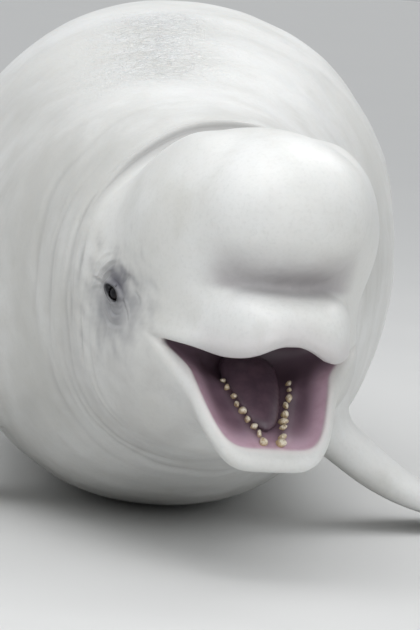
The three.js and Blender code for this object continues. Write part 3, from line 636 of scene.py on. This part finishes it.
def ripple(p, scale, seed, waves=9):
    """A smooth uneven pattern of about -1 to 1, with lumps of about the given size."""
    rng = np.random.RandomState(seed)
    total = np.zeros(len(p))
    for _ in range(waves):
        way = rng.normal(size=3)
        way /= np.linalg.norm(way)
        length = scale * rng.uniform(0.7, 1.5)
        total += np.sin(p @ way * 2 * math.pi / length + rng.uniform(0, 2 * math.pi))
    return total / math.sqrt(waves)


SKIN_LINES = [  # for each axis, where a stretch of the grid starts and ends, and the size of its cells
    grid_lines([(-648, -252, 9), (-252, 252, 6), (252, 648, 9)]),
    grid_lines([(-36, 624, 5.5), (624, 820, 9), (820, 1190, 8), (1190, 3560, 15), (3560, 4004, 5.5)]),
    grid_lines([(-12, 60, 3), (60, 160, 6), (160, 760, 6.2), (760, 880, 8)]),
]


# Edges longer than these are split near the eyes and the blowhole, the mouth, and the fold over the head
DETAIL_EDGE, LIP_NET_EDGE, RIM_EDGE = 2.4, 4.2, 4.6
DETAIL_REACH, LIP_REACH = 75, 16
FOLD_RIM = 420  # where the neck's fold over the head has its rim


def make_skin():
    points, triangles = net_surface(skin_field, SKIN_LINES)
    points, _ = settle(even_out(points, triangles), skin_field, 2, 4)

    def near_detail(p, q):
        middle = (p + q) / 2
        length = np.linalg.norm(p - q, axis=1)
        eye = np.minimum(*(np.linalg.norm(middle - EYES[side][0], axis=1) for side in (1, -1)))
        a, b, c = to_head(*middle.T)
        blow = np.hypot(a - BLOW_A, b) + np.maximum(CROWN - 45 - c, 0)
        wanted = (np.minimum(eye, blow) < DETAIL_REACH) & (length > DETAIL_EDGE)
        front = middle[:, 1] < 700
        lips = np.zeros(len(p), bool)
        head = (a[front], b[front], c[front])
        lips[front] = np.abs(mouth_field(head, to_jaw(*head))) < LIP_REACH
        rim = front & (c > HIGH_HEAD[0] + 10) & (np.abs(a - FOLD_RIM) < 26) & (length > RIM_EDGE)
        return wanted | rim | (lips & (length > LIP_NET_EDGE))

    for _ in range(2):
        points, triangles = refine(points, triangles, near_detail)
        points, out = settle(even_out(points, triangles), skin_field, 2, 3)
    points, out = settle(even_out(points, triangles, 0.3), skin_field, 3, 3)
    return points, triangles, out


def skin_marks(points):
    """How much each point of the skin belongs to the mouth, the creases and the rest, from 0 to 1; many of
    the marks place painted shade and painted light.
    """
    x, s, z = points.T
    a, b, c = to_head(x, s, z)
    u, _, w = to_jaw(a, b, c)
    head = s < 760
    hollow = hollow_field((a, b, c), (u, b, w))
    mouth = smoothstep(5.0, 1.0, hollow) * head
    rim = smoothstep(14, 5, hollow) * (1 - mouth) * head * smoothstep(260, 215, a)
    _, (length, width, _), _, plan, taper = TROUGH
    width = width * (1 + taper * np.clip(u / length, 0, 1.2)) * flare(u)
    across = (np.abs(u / length) ** plan + np.abs(b / width) ** plan) ** (1 / plan)
    # The lining near the lips is pinker and much lighter than the inside: partly its own pink, partly painted
    # light where it is lit
    pink_and_lit = smoothstep(0.70, 1.0, across) * smoothstep(-10, 60, u) * smoothstep(40, 10, w)
    deep = smoothstep(120, -20, u) * mouth
    # row: painted shade in the gum along each row of teeth
    row = bump((np.abs(b) - row_offset(u)) / 8.5) * smoothstep(0, -12, w)
    row = row * smoothstep(40, 64, u) * smoothstep(204, 194, u)
    shade = smoothstep(74, 90, c) * smoothstep(176, 96, c)
    shade = shade * smoothstep(155, 90, np.abs(b)) * smoothstep(150, 90, a)
    # lip: the front of the upper jaw just above the lip, painted darker as painted shade with a faint pink
    # tint
    above_lip = c - upper_lip(a, b)
    lip = smoothstep(58, 8, above_lip) * smoothstep(-14, -4, above_lip) * smoothstep(150, 80, a) * (1 - mouth)
    high = smoothstep(*HIGH_HEAD, c)
    # The neck behind the head is painted darker and warmer: partly a warm tone of the skin, partly painted
    # shade
    neck = smoothstep(400, 450, a) * smoothstep(1500, 900, s) * smoothstep(780, 660, z)
    # The lower sides of the head are painted darker: painted shade under the jaw
    jowl_shade = smoothstep(10, -70, c) * smoothstep(40, 110, np.abs(b))
    jowl_shade = jowl_shade * smoothstep(90, 200, a) * smoothstep(520, 420, a)
    # Painted shade in the crease where the neck folds over the head
    crease_shade = bump((a - FOLD_RIM) / 13) * (0.25 + 0.75 * high) * (s < 800)
    patch, socket, lid = (np.zeros(len(points)) for _ in range(3))
    for side in (1, -1):
        back, up, out = in_eye(points, side)
        along, across = in_slit(back, up)
        level = smoothstep(90, 50, np.abs(out)) * smoothstep(180, 120, np.hypot(back, up))
        ragged = 1 + 0.16 * ripple(points, 34, 8) + 0.08 * ripple(points, 13, 9)
        lid = np.maximum(lid, bump(np.hypot((back + 6) / 30, (up - 20) / 24) * ragged) * level)
        patch = np.maximum(patch, bump(np.hypot((back + 12) / 76, (up + 18) / 60) * ragged) * level)
        # socket: the slit and the lid edges round it, painted near black as painted shade in the eye's
        # opening
        socket = np.maximum(socket, smoothstep(1.35, 0.7, np.hypot(along / 25, across / 10) * ragged) * level)
    top, bottom = back_line(s), belly_line(s)
    # The underside is painted darker towards the belly: painted shade
    under_shade = smoothstep(0.15, -0.9, (2 * z - top - bottom) / (top - bottom))
    wrinkled = bump((x + 48) / 100) * smoothstep(640, 860, s) * smoothstep(1560, 1300, s) * (z > 600)
    return dict(
        mouth=mouth, rim=rim, deep=deep, pink_and_lit=pink_and_lit, row=row, shade=shade, lip=lip, neck=neck, jowl_shade=jowl_shade,
        crease_shade=crease_shade, patch=patch, lid=lid, socket=socket, under_shade=under_shade, wrinkled=wrinkled,
    )


def to_world(points):
    return (points - [0, REST_STATION, 0]) * MM


def add_object(name, data):
    made = bpy.data.objects.new(name, data)
    bpy.context.scene.collection.objects.link(made)
    return made


def make_mesh(name, points, triangles, marks=None):
    mesh = bpy.data.meshes.new(name)
    mesh.vertices.add(len(points))
    mesh.vertices.foreach_set("co", to_world(points).astype(np.float32).ravel())
    mesh.loops.add(triangles.size)
    mesh.loops.foreach_set("vertex_index", triangles.astype(np.int32).ravel())
    mesh.polygons.add(len(triangles))
    mesh.polygons.foreach_set("loop_start", np.arange(0, triangles.size, 3, dtype=np.int32))
    mesh.update()
    mesh.validate()
    mesh.shade_smooth()
    for key, values in (marks or {}).items():
        mesh.attributes.new(key, "FLOAT", "POINT").data.foreach_set("value", values.astype(np.float32))
    return add_object(name, mesh)


NECK_FOLDS = [  # distance back, depth, half width, middle angle round the head, how far it runs, waviness
    (424, 4.5, 4.8, 1.85, 0.5, 3), (446, 2.6, 9, 3.0, 0.6, 7), (476, 2.4, 10, 3.3, 0.6, 9),
    (516, 2.0, 12, 2.9, 0.7, 10), (452, 2.2, 10, 4.2, 0.6, 8), (492, 2.0, 11, 4.6, 0.8, 9),
    (552, 2.0, 14, 3.6, 0.9, 12), (446, 2.4, 9, 0.1, 0.7, 7), (486, 2.2, 10, -0.2, 0.7, 9),
    (540, 2.0, 13, 0.2, 0.9, 11), (372, 1.6, 8, 3.5, 0.5, 6), (600, 1.8, 16, 2.6, 1.1, 12),
    (415, 2.8, 5, 2.75, 0.18, 3), (408, 2.4, 5, 3.25, 0.2, 4), (432, 2.4, 5, 3.05, 0.16, 3),
    (436, 2.2, 5, 2.45, 0.15, 3),
]
FOLD_MIDDLE = -10  # the height that the folds' angles are taken round
FOLD_WAVE = 120  # the size of the lumps by which a fold wanders
FOLD_SHADE = (0.4, 3.4)  # depths between which a fold is painted darker, as painted shade in its groove
BLUBBER = ((1.1, 210, 3), (0.5, 80, 4))  # height, size and seed of the skin's soft unevenness
LYING = (4, 40)  # heights over which that unevenness fades out towards the floor


def neck_folds(points):
    """How far the skin sinks at each point, in the folds of the neck."""
    a, b, c = to_head(*points.T)
    angle = np.arctan2(c - FOLD_MIDDLE, b)
    sunk = np.zeros(len(points))
    for at, depth, half, middle, run, wave in NECK_FOLDS:
        turned = np.abs(np.angle(np.exp(1j * (angle - middle))))
        wavy = a + wave * np.sin(3 * angle + at) + 0.5 * wave * ripple(points, FOLD_WAVE, int(at))
        groove = bump((wavy - at) / half) - 0.55 * bump((wavy - at - 2.1 * half) / (1.1 * half))
        sunk += depth * groove * bump(turned / run)
    return sunk


def make_marked_skin():
    points, triangles, out = make_skin()
    marks = skin_marks(points)
    sunk = neck_folds(points)
    # The deeper parts of the folds get painted shade
    marks["folds"] = smoothstep(*FOLD_SHADE, sunk)
    swell = sum(height * ripple(points, size, seed) for height, size, seed in BLUBBER) - sunk
    swell = swell * (1 - marks["mouth"]) * smoothstep(*LYING, points[:, 2])
    return points + out * swell[:, None], triangles, marks


skin = make_mesh("skin", *make_marked_skin())


# Rings joined into a closed surface
def loft(rings):
    size = len(rings[0])
    points = [p for ring in rings for p in ring]
    triangles = []
    for i in range(len(rings) - 1):
        for j in range(size):
            m, n = i * size + j, i * size + (j + 1) % size
            triangles += [(m, n, n + size), (m, n + size, m + size)]
    for first, ring in ((0, rings[0]), ((len(rings) - 1) * size, rings[-1])):
        points.append(np.mean(ring, axis=0))
        for j in range(size):
            pair = (first + j, first + (j + 1) % size)
            triangles.append((len(points) - 1, *(pair if first else pair[::-1])))
    points, triangles = np.array(points), np.array(triangles)
    corner = points[triangles]
    volume = np.einsum("ij,ij->", corner[:, 0], np.cross(corner[:, 1], corner[:, 2]))
    return points, triangles if volume > 0 else triangles[:, ::-1]


# The tongue
TONGUE_ROWS = [  # a and c of the middle, half width, half height
    (108, -141, 4, 3), (114, -136, 15, 8), (130, -124, 26, 13), (158, -103, 37, 17), (190, -80, 45, 20),
    (218, -60, 47, 20), (238, -48, 40, 15), (250, -42, 24, 9), (255, -40, 5, 3),
]
TONGUE_RISE, TONGUE_SIDE = math.radians(36), -4
TONGUE_GROOVE, TONGUE_FRILL = 2.6, 1.2
TONGUE_RINGS, TONGUE_ROUND = 49, 56
tongue_lines = lines_through(TONGUE_ROWS)


def make_tongue():
    rings = []
    front, back = TONGUE_ROWS[0][0], TONGUE_ROWS[-1][0]
    for share in (1 - np.cos(np.linspace(0, math.pi, TONGUE_RINGS))) / 2:
        a = front + (back - front) * share
        c, half, thick = (float(at(a)) for at in tongue_lines)
        angle = np.linspace(0, 2 * math.pi, TONGUE_ROUND, endpoint=False)
        across = np.cos(angle)
        rise = np.sin(angle) * thick
        groove = TONGUE_GROOVE * bump(across / 0.16) * (rise > 0)
        groove = groove * smoothstep(0.05, 0.3, share) * smoothstep(0.95, 0.6, share)
        edge = band(np.abs(across), TONGUE_FRILL, 0.95, 0.2) * np.sin(share * 95) * smoothstep(0, 0.2, share)
        rise = rise - groove + edge * 0.5
        at_a = a - rise * math.sin(TONGUE_RISE)
        at_b = TONGUE_SIDE + (half + edge * 0.4) * across
        rings.append(np.stack(from_head(at_a, at_b, c + rise * math.cos(TONGUE_RISE)), axis=1))
    return loft(rings)


tongue = make_mesh("tongue_flesh", *make_tongue())


# The teeth: blunt worn pegs in two rows
TOOTH_COUNT, TOOTH_RADIUS, TOOTH_ROOT, TOOTH_HEIGHT = 9, 6.8, 9, 10
TOOTH_RINGS, TOOTH_ROUND, TOOTH_SEED = 12, 16, 17
TOOTH_SHRINK = 0.3  # how much smaller the last tooth is than the first
TOOTH_STRAY = 2.5  # how far a tooth may stand from its place in the row


def gum_height(u, b):
    w = np.arange(0, -80, -0.25)
    p = np.stack(from_jaw(np.full_like(w, u), np.full_like(w, b), w), axis=1)
    head = to_head(*p.T)
    return w[mouth_field(head, to_jaw(*head)) < 0][-1]


def make_teeth(side):
    rng = np.random.RandomState(TOOTH_SEED + side)
    all_points, all_triangles, tip, total = [], [], [], 0
    for i in range(TOOTH_COUNT):
        share = i / (TOOTH_COUNT - 1)
        u = ROW_FRONT[0] + (ROW_BACK[0] - ROW_FRONT[0]) * share
        b = side * row_offset(u) + rng.uniform(-TOOTH_STRAY, TOOTH_STRAY)
        u += rng.uniform(-TOOTH_STRAY, TOOTH_STRAY)
        size = (1 - TOOTH_SHRINK * share) * rng.uniform(0.78, 1.2)
        stretch = rng.uniform(0.85, 1.25)
        lean_u, lean_b = rng.uniform(-0.28, 0.28), rng.uniform(-0.26, 0.26) + 0.12 * side
        base = gum_height(u, b)
        rings = []
        for t in np.linspace(0, 1, TOOTH_RINGS):
            h = -TOOTH_ROOT + (TOOTH_ROOT + TOOTH_HEIGHT) * t
            top = max(0.0, (h - 0.35 * TOOTH_HEIGHT) / (0.65 * TOOTH_HEIGHT))
            radius = TOOTH_RADIUS * (1.04 - 0.1 * t) * math.sqrt(max(1 - top**2.4, 0.02))
            angle = np.linspace(0, 2 * math.pi, TOOTH_ROUND, endpoint=False)
            uneven = 1 + 0.11 * np.cos(2 * angle + i) + 0.07 * np.cos(3 * angle + 2 * i + 3 * t)
            du = radius * np.cos(angle) * uneven * stretch + lean_u * max(h, 0)
            db = radius * np.sin(angle) * uneven / stretch + lean_b * max(h, 0)
            jaw = (u + du * size, b + db * size, base + size * h + 0 * du)
            rings.append(np.stack(from_jaw(*jaw), axis=1))
            # tip: how near the top of the tooth a point is; the tops are painted paler, a painted highlight
            tip += [smoothstep(0.1, 0.9, h / TOOTH_HEIGHT)] * len(angle)
        tip += [0.0, 1.0]
        made, faces = loft(rings)
        all_points.append(made)
        all_triangles.append(faces + total)
        total += len(made)
    return np.concatenate(all_points), np.concatenate(all_triangles), {"tip": np.array(tip, float)}


teeth = {side: make_mesh(name, *make_teeth(side)) for side, name in ((1, "teeth_left"), (-1, "teeth_right"))}


# The eyeballs, with a cornea that stands a little proud
EYE_RINGS, EYE_ROUND, POLE = 40, 48, 0.02
CORNEA_RISE, CORNEA_HALF = 0.035, 0.5  # as a share of the radius, and in radians
PUPIL = (0.86, 0.95)  # how squarely the ball faces out where the pupil starts and is full


def make_eye(side):
    point, back, up, out = EYES[side]
    centre = point - out * EYE_DEPTH
    rings = []
    for t in np.linspace(POLE, math.pi - POLE, EYE_RINGS):
        angle = np.linspace(0, 2 * math.pi, EYE_ROUND, endpoint=False)
        radius = EYE_RADIUS * (0.98 + CORNEA_RISE * bump(t / CORNEA_HALF))
        ring = centre + out * (radius * math.cos(t))
        ring = ring + radius * math.sin(t) * (np.cos(angle)[:, None] * back + np.sin(angle)[:, None] * up)
        rings.append(ring)
    made, faces = loft(rings)
    facing = (made - centre) @ out / EYE_RADIUS
    return made, faces, {"pupil": smoothstep(*PUPIL, facing)}


eyes = {side: make_mesh(name, *make_eye(side)) for side, name in ((1, "eyeball_left"), (-1, "eyeball_right"))}


# Materials
class Nodes:
    """A node tree, with short calls to add nodes to it."""

    def __init__(self, tree):
        self.tree = tree

    def put(self, socket, value):
        if isinstance(value, bpy.types.NodeSocket):
            self.tree.links.new(value, socket)
        elif isinstance(value, tuple) and len(value) == 3 and socket.type == "RGBA":
            socket.default_value = (*value, 1)
        else:
            socket.default_value = value

    def add(self, kind, values=(), out=0, **settings):
        node = self.tree.nodes.new(kind)
        for key, value in settings.items():
            setattr(node, key, value)
        for key, value in dict(values).items():
            self.put(node.inputs[key], value)
        return node.outputs[out]

    def ramp(self, value, low, high, to_low=0, to_high=1):
        values = {"Value": value, "From Min": low, "From Max": high, "To Min": to_low, "To Max": to_high}
        return self.add("ShaderNodeMapRange", values, interpolation_type="SMOOTHSTEP")

    def math(self, way, a, b=0):
        return self.add("ShaderNodeMath", {0: a, 1: b}, operation=way)

    def mix(self, share, a, b):
        return self.add("ShaderNodeMix", {0: share, 6: a, 7: b}, out=2, data_type="RGBA")

    def mix_number(self, share, a, b):
        return self.add("ShaderNodeMix", {0: share, 2: a, 3: b})

    def layers(self, colour, rows):
        """The colour with each tint laid over it in turn, by the share beside it."""
        for share, tint in rows:
            colour = self.mix(share, colour, tint)
        return colour

    def off_half(self, noise):
        """How far a noise is from its middle, which is near 0 along thin winding lines."""
        return self.math("ABSOLUTE", self.math("SUBTRACT", noise, 0.5))

    def bump(self, height, strength, distance, below=None):
        values = {"Height": height, "Strength": strength, "Distance": distance}
        if below is not None:
            values["Normal"] = below
        return self.add("ShaderNodeBump", values)


class Shade(Nodes):
    """One material with its shader."""

    def __init__(self, name):
        self.material = bpy.data.materials.new(name)
        self.material.use_nodes = True
        super().__init__(self.material.node_tree)
        self.shader = self.tree.nodes["Principled BSDF"]
        self.place = self.add("ShaderNodeTexCoord", out="Object")

    def set(self, **values):
        for key, value in values.items():
            self.put(self.shader.inputs[key.replace("_", " ")], value)

    def mark(self, name):
        return self.add("ShaderNodeAttribute", out="Fac", attribute_name=name)

    def marked(self, name, share):
        """The share of a colour where the mark is full, and less where it fades."""
        return self.math("MULTIPLY", self.mark(name), share)

    def noise(self, scale, detail=4, rough=0.55, warp=0, place=None):
        values = {"Vector": place or self.place, "Scale": scale, "Detail": detail, "Roughness": rough}
        return self.add("ShaderNodeTexNoise", {**values, "Distortion": warp})


# Colours, as the two ends of a mix
SKIN = ((0.69, 0.69, 0.665), (0.785, 0.79, 0.78))
# the wet patch: a darker grey, and near white for painted glints
WET_TONE_AND_GLINT = ((0.7, 0.71, 0.705), (0.93, 0.93, 0.93))
GUM = ((0.125, 0.078, 0.104), (0.185, 0.115, 0.15))
# the lining near the lips: its own pink, together with painted light
PINK_AND_LIT = ((0.68, 0.48, 0.58), (0.54, 0.35, 0.43))
TONGUE = ((0.095, 0.06, 0.08), (0.145, 0.09, 0.115))
TOOTH = ((0.46, 0.33, 0.17), (0.62, 0.49, 0.29))
IRIS = ((0.012, 0.01, 0.011), (0.026, 0.02, 0.02))
FLOOR = ((0.6, 0.6, 0.595), (0.66, 0.66, 0.65))


def skin_material():
    s = Shade("wet_skin")
    broad = s.noise(2.6, 5, 0.6, 0.4)
    cloud = s.noise(11, 6, 0.6, 0.3)
    grain = s.noise(160, 3, 0.6)
    scratch = s.ramp(s.off_half(s.noise(30, 3, 0.5, 0.9)), 0.004, 0, 0, 0.14)
    squiggle = s.noise(48, 3, 0.55, 1.8)
    # glint: thin winding lines, painted near white on the wet patch as painted glints
    glint = s.ramp(s.off_half(squiggle), 0.035, 0.008)
    flesh = s.noise(26, 4)
    gum = s.layers(s.mix(s.ramp(flesh, 0.35, 0.7), *GUM), [
        (s.mark("deep"), (0.15, 0.098, 0.126)),
        # pink lining with painted light near the lips
        (s.mark("pink_and_lit"), s.mix(s.ramp(flesh, 0.3, 0.7), *PINK_AND_LIT)),
        # painted shade along the rows of teeth
        (s.marked("row", 0.8), (0.06, 0.034, 0.04)),
    ])
    colour = s.layers(s.mix(s.ramp(broad, 0.35, 0.68), *SKIN), [
        (s.ramp(cloud, 0.5, 0.72, 0, 0.24), (0.54, 0.53, 0.48)),
        (s.ramp(grain, 0.45, 0.75, 0, 0.14), (0.45, 0.45, 0.44)),
        (s.math("MULTIPLY", scratch, s.ramp(cloud, 0.5, 0.62)), (0.48, 0.48, 0.46)),
        # painted shade on the underside
        (s.marked("under_shade", 0.1), (0.4, 0.41, 0.4)),
        # the neck's warmer tone together with painted shade
        (s.marked("neck", s.ramp(broad, 0.35, 0.62, 0.5, 0.2)), (0.4, 0.395, 0.37)),
        # painted shade on the lower sides of the head
        (s.marked("jowl_shade", s.ramp(cloud, 0.35, 0.62, 0.38, 0.18)), (0.36, 0.35, 0.34)),
        # the wet patch with its painted glints
        (s.marked("wrinkled", s.ramp(cloud, 0.42, 0.56, 0, 0.75)), s.mix(glint, *WET_TONE_AND_GLINT)),
        # painted shade in the crease of the neck's fold
        (s.marked("crease_shade", 0.72), (0.31, 0.305, 0.3)),
        # painted shade in the folds of the neck
        (s.marked("folds", 0.5), (0.3, 0.295, 0.29)),
        (s.marked("shade", s.ramp(cloud, 0.3, 0.6, 0.65, 0.9)), (0.36, 0.34, 0.35)),
        # painted shade above the upper lip
        (s.marked("lip", 0.5), (0.47, 0.43, 0.44)),
        (s.marked("patch", s.ramp(cloud, 0.3, 0.65, 0.78, 1)), (0.22, 0.22, 0.235)),
        (s.mark("lid"), (0.115, 0.113, 0.135)),
        # painted shade in the eye's opening
        (s.mark("socket"), (0.05, 0.05, 0.055)),
        (s.marked("rim", 0.7), (0.78, 0.74, 0.73)),
        (s.mark("mouth"), gum),
    ])
    wet = s.ramp(s.noise(7, 3, 0.5, 0.5), 0.42, 0.62)
    rough = s.mix_number(wet, 0.5, 0.36)
    rough = s.mix_number(s.mark("wrinkled"), rough, 0.2)
    rough = s.mix_number(s.mark("mouth"), rough, 0.38)
    fine = s.bump(grain, 0.1, 0.0012)
    soft = s.bump(cloud, 0.28, 0.0035, fine)
    lines = s.bump(scratch, 0.25, -0.0012, soft)
    lines = s.bump(s.math("MULTIPLY", squiggle, s.mark("wrinkled")), 0.9, 0.012, lines)
    s.set(Base_Color=colour, Roughness=rough, Normal=lines, Coat_Weight=0.2, Coat_Roughness=0.3)
    s.set(Subsurface_Weight=0.06, Subsurface_Radius=(0.012, 0.008, 0.006), Subsurface_Scale=1)
    return s.material


def tongue_material():
    s = Shade("tongue_flesh")
    cloud = s.noise(38, 5, 0.6)
    grain = s.noise(420, 2, 0.6)
    colour = s.mix(s.ramp(cloud, 0.35, 0.7), *TONGUE)
    s.set(Base_Color=colour, Roughness=s.ramp(cloud, 0.3, 0.7, 0.46, 0.34))
    s.set(Coat_Weight=0.15, Coat_Roughness=0.25)
    s.set(Normal=s.bump(grain, 0.3, 0.0006, s.bump(cloud, 0.3, 0.002)))
    return s.material


def tooth_material():
    s = Shade("tooth_enamel")
    cloud = s.noise(120, 4, 0.6)
    upright = s.add("ShaderNodeMapping", {"Vector": s.place, "Scale": (1, 1, 0.3)})
    streak = s.noise(300, 3, 0.6, 0.4, upright)
    colour = s.layers(s.mix(s.ramp(cloud, 0.3, 0.7), *TOOTH), [
        # painted highlight on the tooth tops
        (s.marked("tip", s.ramp(cloud, 0.35, 0.6, 0.2, 0.9)), (0.86, 0.8, 0.66)),
        (s.ramp(streak, 0.45, 0.7, 0, 0.7), (0.24, 0.15, 0.07)),
    ])
    s.set(Base_Color=colour, Roughness=s.ramp(streak, 0.3, 0.7, 0.22, 0.4))
    s.set(Coat_Weight=0.3, Coat_Roughness=0.15)
    s.set(Normal=s.bump(streak, 0.25, 0.0004))
    return s.material


def eye_material():
    s = Shade("eye_dark")
    cloud = s.noise(260, 3, 0.6)
    colour = s.mix(s.ramp(cloud, 0.35, 0.65), *IRIS)
    colour = s.mix(s.mark("pupil"), colour, (0.006, 0.006, 0.008))
    s.set(Base_Color=colour, Roughness=s.ramp(cloud, 0.3, 0.7, 0.12, 0.2), Specular_IOR_Level=0.22)
    s.set(Normal=s.bump(cloud, 0.05, 0.0002))
    return s.material


skin.data.materials.append(skin_material())
tongue.data.materials.append(tongue_material())
enamel, dark = tooth_material(), eye_material()
for piece in teeth.values():
    piece.data.materials.append(enamel)
for piece in eyes.values():
    piece.data.materials.append(dark)

FLESH = ["head", "lower_jaw", "neck", "chest", "trunk", "tail_stock"]
FLESH += [f"{limb}_{side}" for limb in ("fluke", "flipper") for side in ("left", "right")]
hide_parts(*FLESH)
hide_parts("tongue")
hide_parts("eye_left")
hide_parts("eye_right")
for piece in (skin, tongue, *teeth.values(), *eyes.values()):
    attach(piece, "root")


# The floor, with a faint unevenness
FLOOR_HALF = 30000


def make_floor():
    far, near = REST_STATION + FLOOR_HALF, REST_STATION - FLOOR_HALF
    corners = [(-FLOOR_HALF, near, 0), (FLOOR_HALF, near, 0), (FLOOR_HALF, far, 0), (-FLOOR_HALF, far, 0)]
    piece = make_mesh("floor", np.array(corners), np.array([(0, 1, 2), (0, 2, 3)]))
    s = Shade("pale_floor")
    cloud = s.noise(1.4, 5, 0.6)
    s.set(Base_Color=s.mix(cloud, *FLOOR), Roughness=s.ramp(cloud, 0.3, 0.7, 0.6, 0.75))
    s.set(Normal=s.bump(s.noise(30), 0.05, 0.002))
    piece.data.materials.append(s.material)
    return piece


make_floor()


# Light
LAMPS = [  # name, place, what it is turned to, size in metres, watts
    ("above", (-1, -2.6, 4.6), (0, -1.5, 0.5), 4.2, 80),
    ("behind", (1.8, 1.5, 4.5), (0, 0, 0.4), 3, 50),
    ("front", (1.4, -6, 2.3), (0.1, -1.8, 0.4), 3.2, 46),
]
for name, place, aim, size, watts in LAMPS:
    light = bpy.data.lights.new(name, "AREA")
    light.shape, light.size, light.energy = "DISK", size, watts
    lamp = add_object(name, light)
    lamp.location = place
    lamp.rotation_euler = (Vector(aim) - Vector(place)).to_track_quat("-Z", "Y").to_euler()

SKY = ((0.5, 0.51, 0.52), (1.06, 1.08, 1.1))  # low and high
SKY_STRENGTH = 0.85


def make_sky():
    """A pale sky, brightest overhead."""
    world = bpy.data.worlds.new("studio")
    bpy.context.scene.world = world
    world.use_nodes = True
    sky = Nodes(world.node_tree)
    up = sky.add("ShaderNodeSeparateXYZ", {0: sky.add("ShaderNodeTexCoord", out="Generated")}, out="Z")
    light = sky.tree.nodes["Background"].inputs
    sky.put(light["Color"], sky.mix(sky.add("ShaderNodeMapRange", {"Value": up}), *SKY))
    sky.put(light["Strength"], SKY_STRENGTH)


make_sky()
bpy.context.scene.view_settings.view_transform = "Standard"

# The camera
VIEW_TARGET = Vector((0.06277, -1.85889, 0.4273))
VIEW_AZIMUTH, VIEW_ELEVATION, VIEW_ROLL = (math.radians(v) for v in (-1, 5, 5))
VIEW_DISTANCE, VIEW_HALF_HEIGHT = 9, 0.495
SENSOR_HEIGHT = 24  # the taller side of the frame
camera_data = bpy.data.cameras.new("camera")
camera = add_object("camera", camera_data)
level = math.cos(VIEW_ELEVATION)
away = Vector((math.sin(VIEW_AZIMUTH) * level, -math.cos(VIEW_AZIMUTH) * level, math.sin(VIEW_ELEVATION)))
camera.location = VIEW_TARGET + away * VIEW_DISTANCE
camera.rotation_mode = "QUATERNION"
camera.rotation_quaternion = (-away).to_track_quat("-Z", "Y") @ Quaternion((0, 0, 1), VIEW_ROLL)
camera_data.sensor_width = SENSOR_HEIGHT
camera_data.lens = SENSOR_HEIGHT / 2 * VIEW_DISTANCE / VIEW_HALF_HEIGHT
camera_data.clip_start, camera_data.clip_end = 0.1, 100
bpy.context.scene.camera = camera
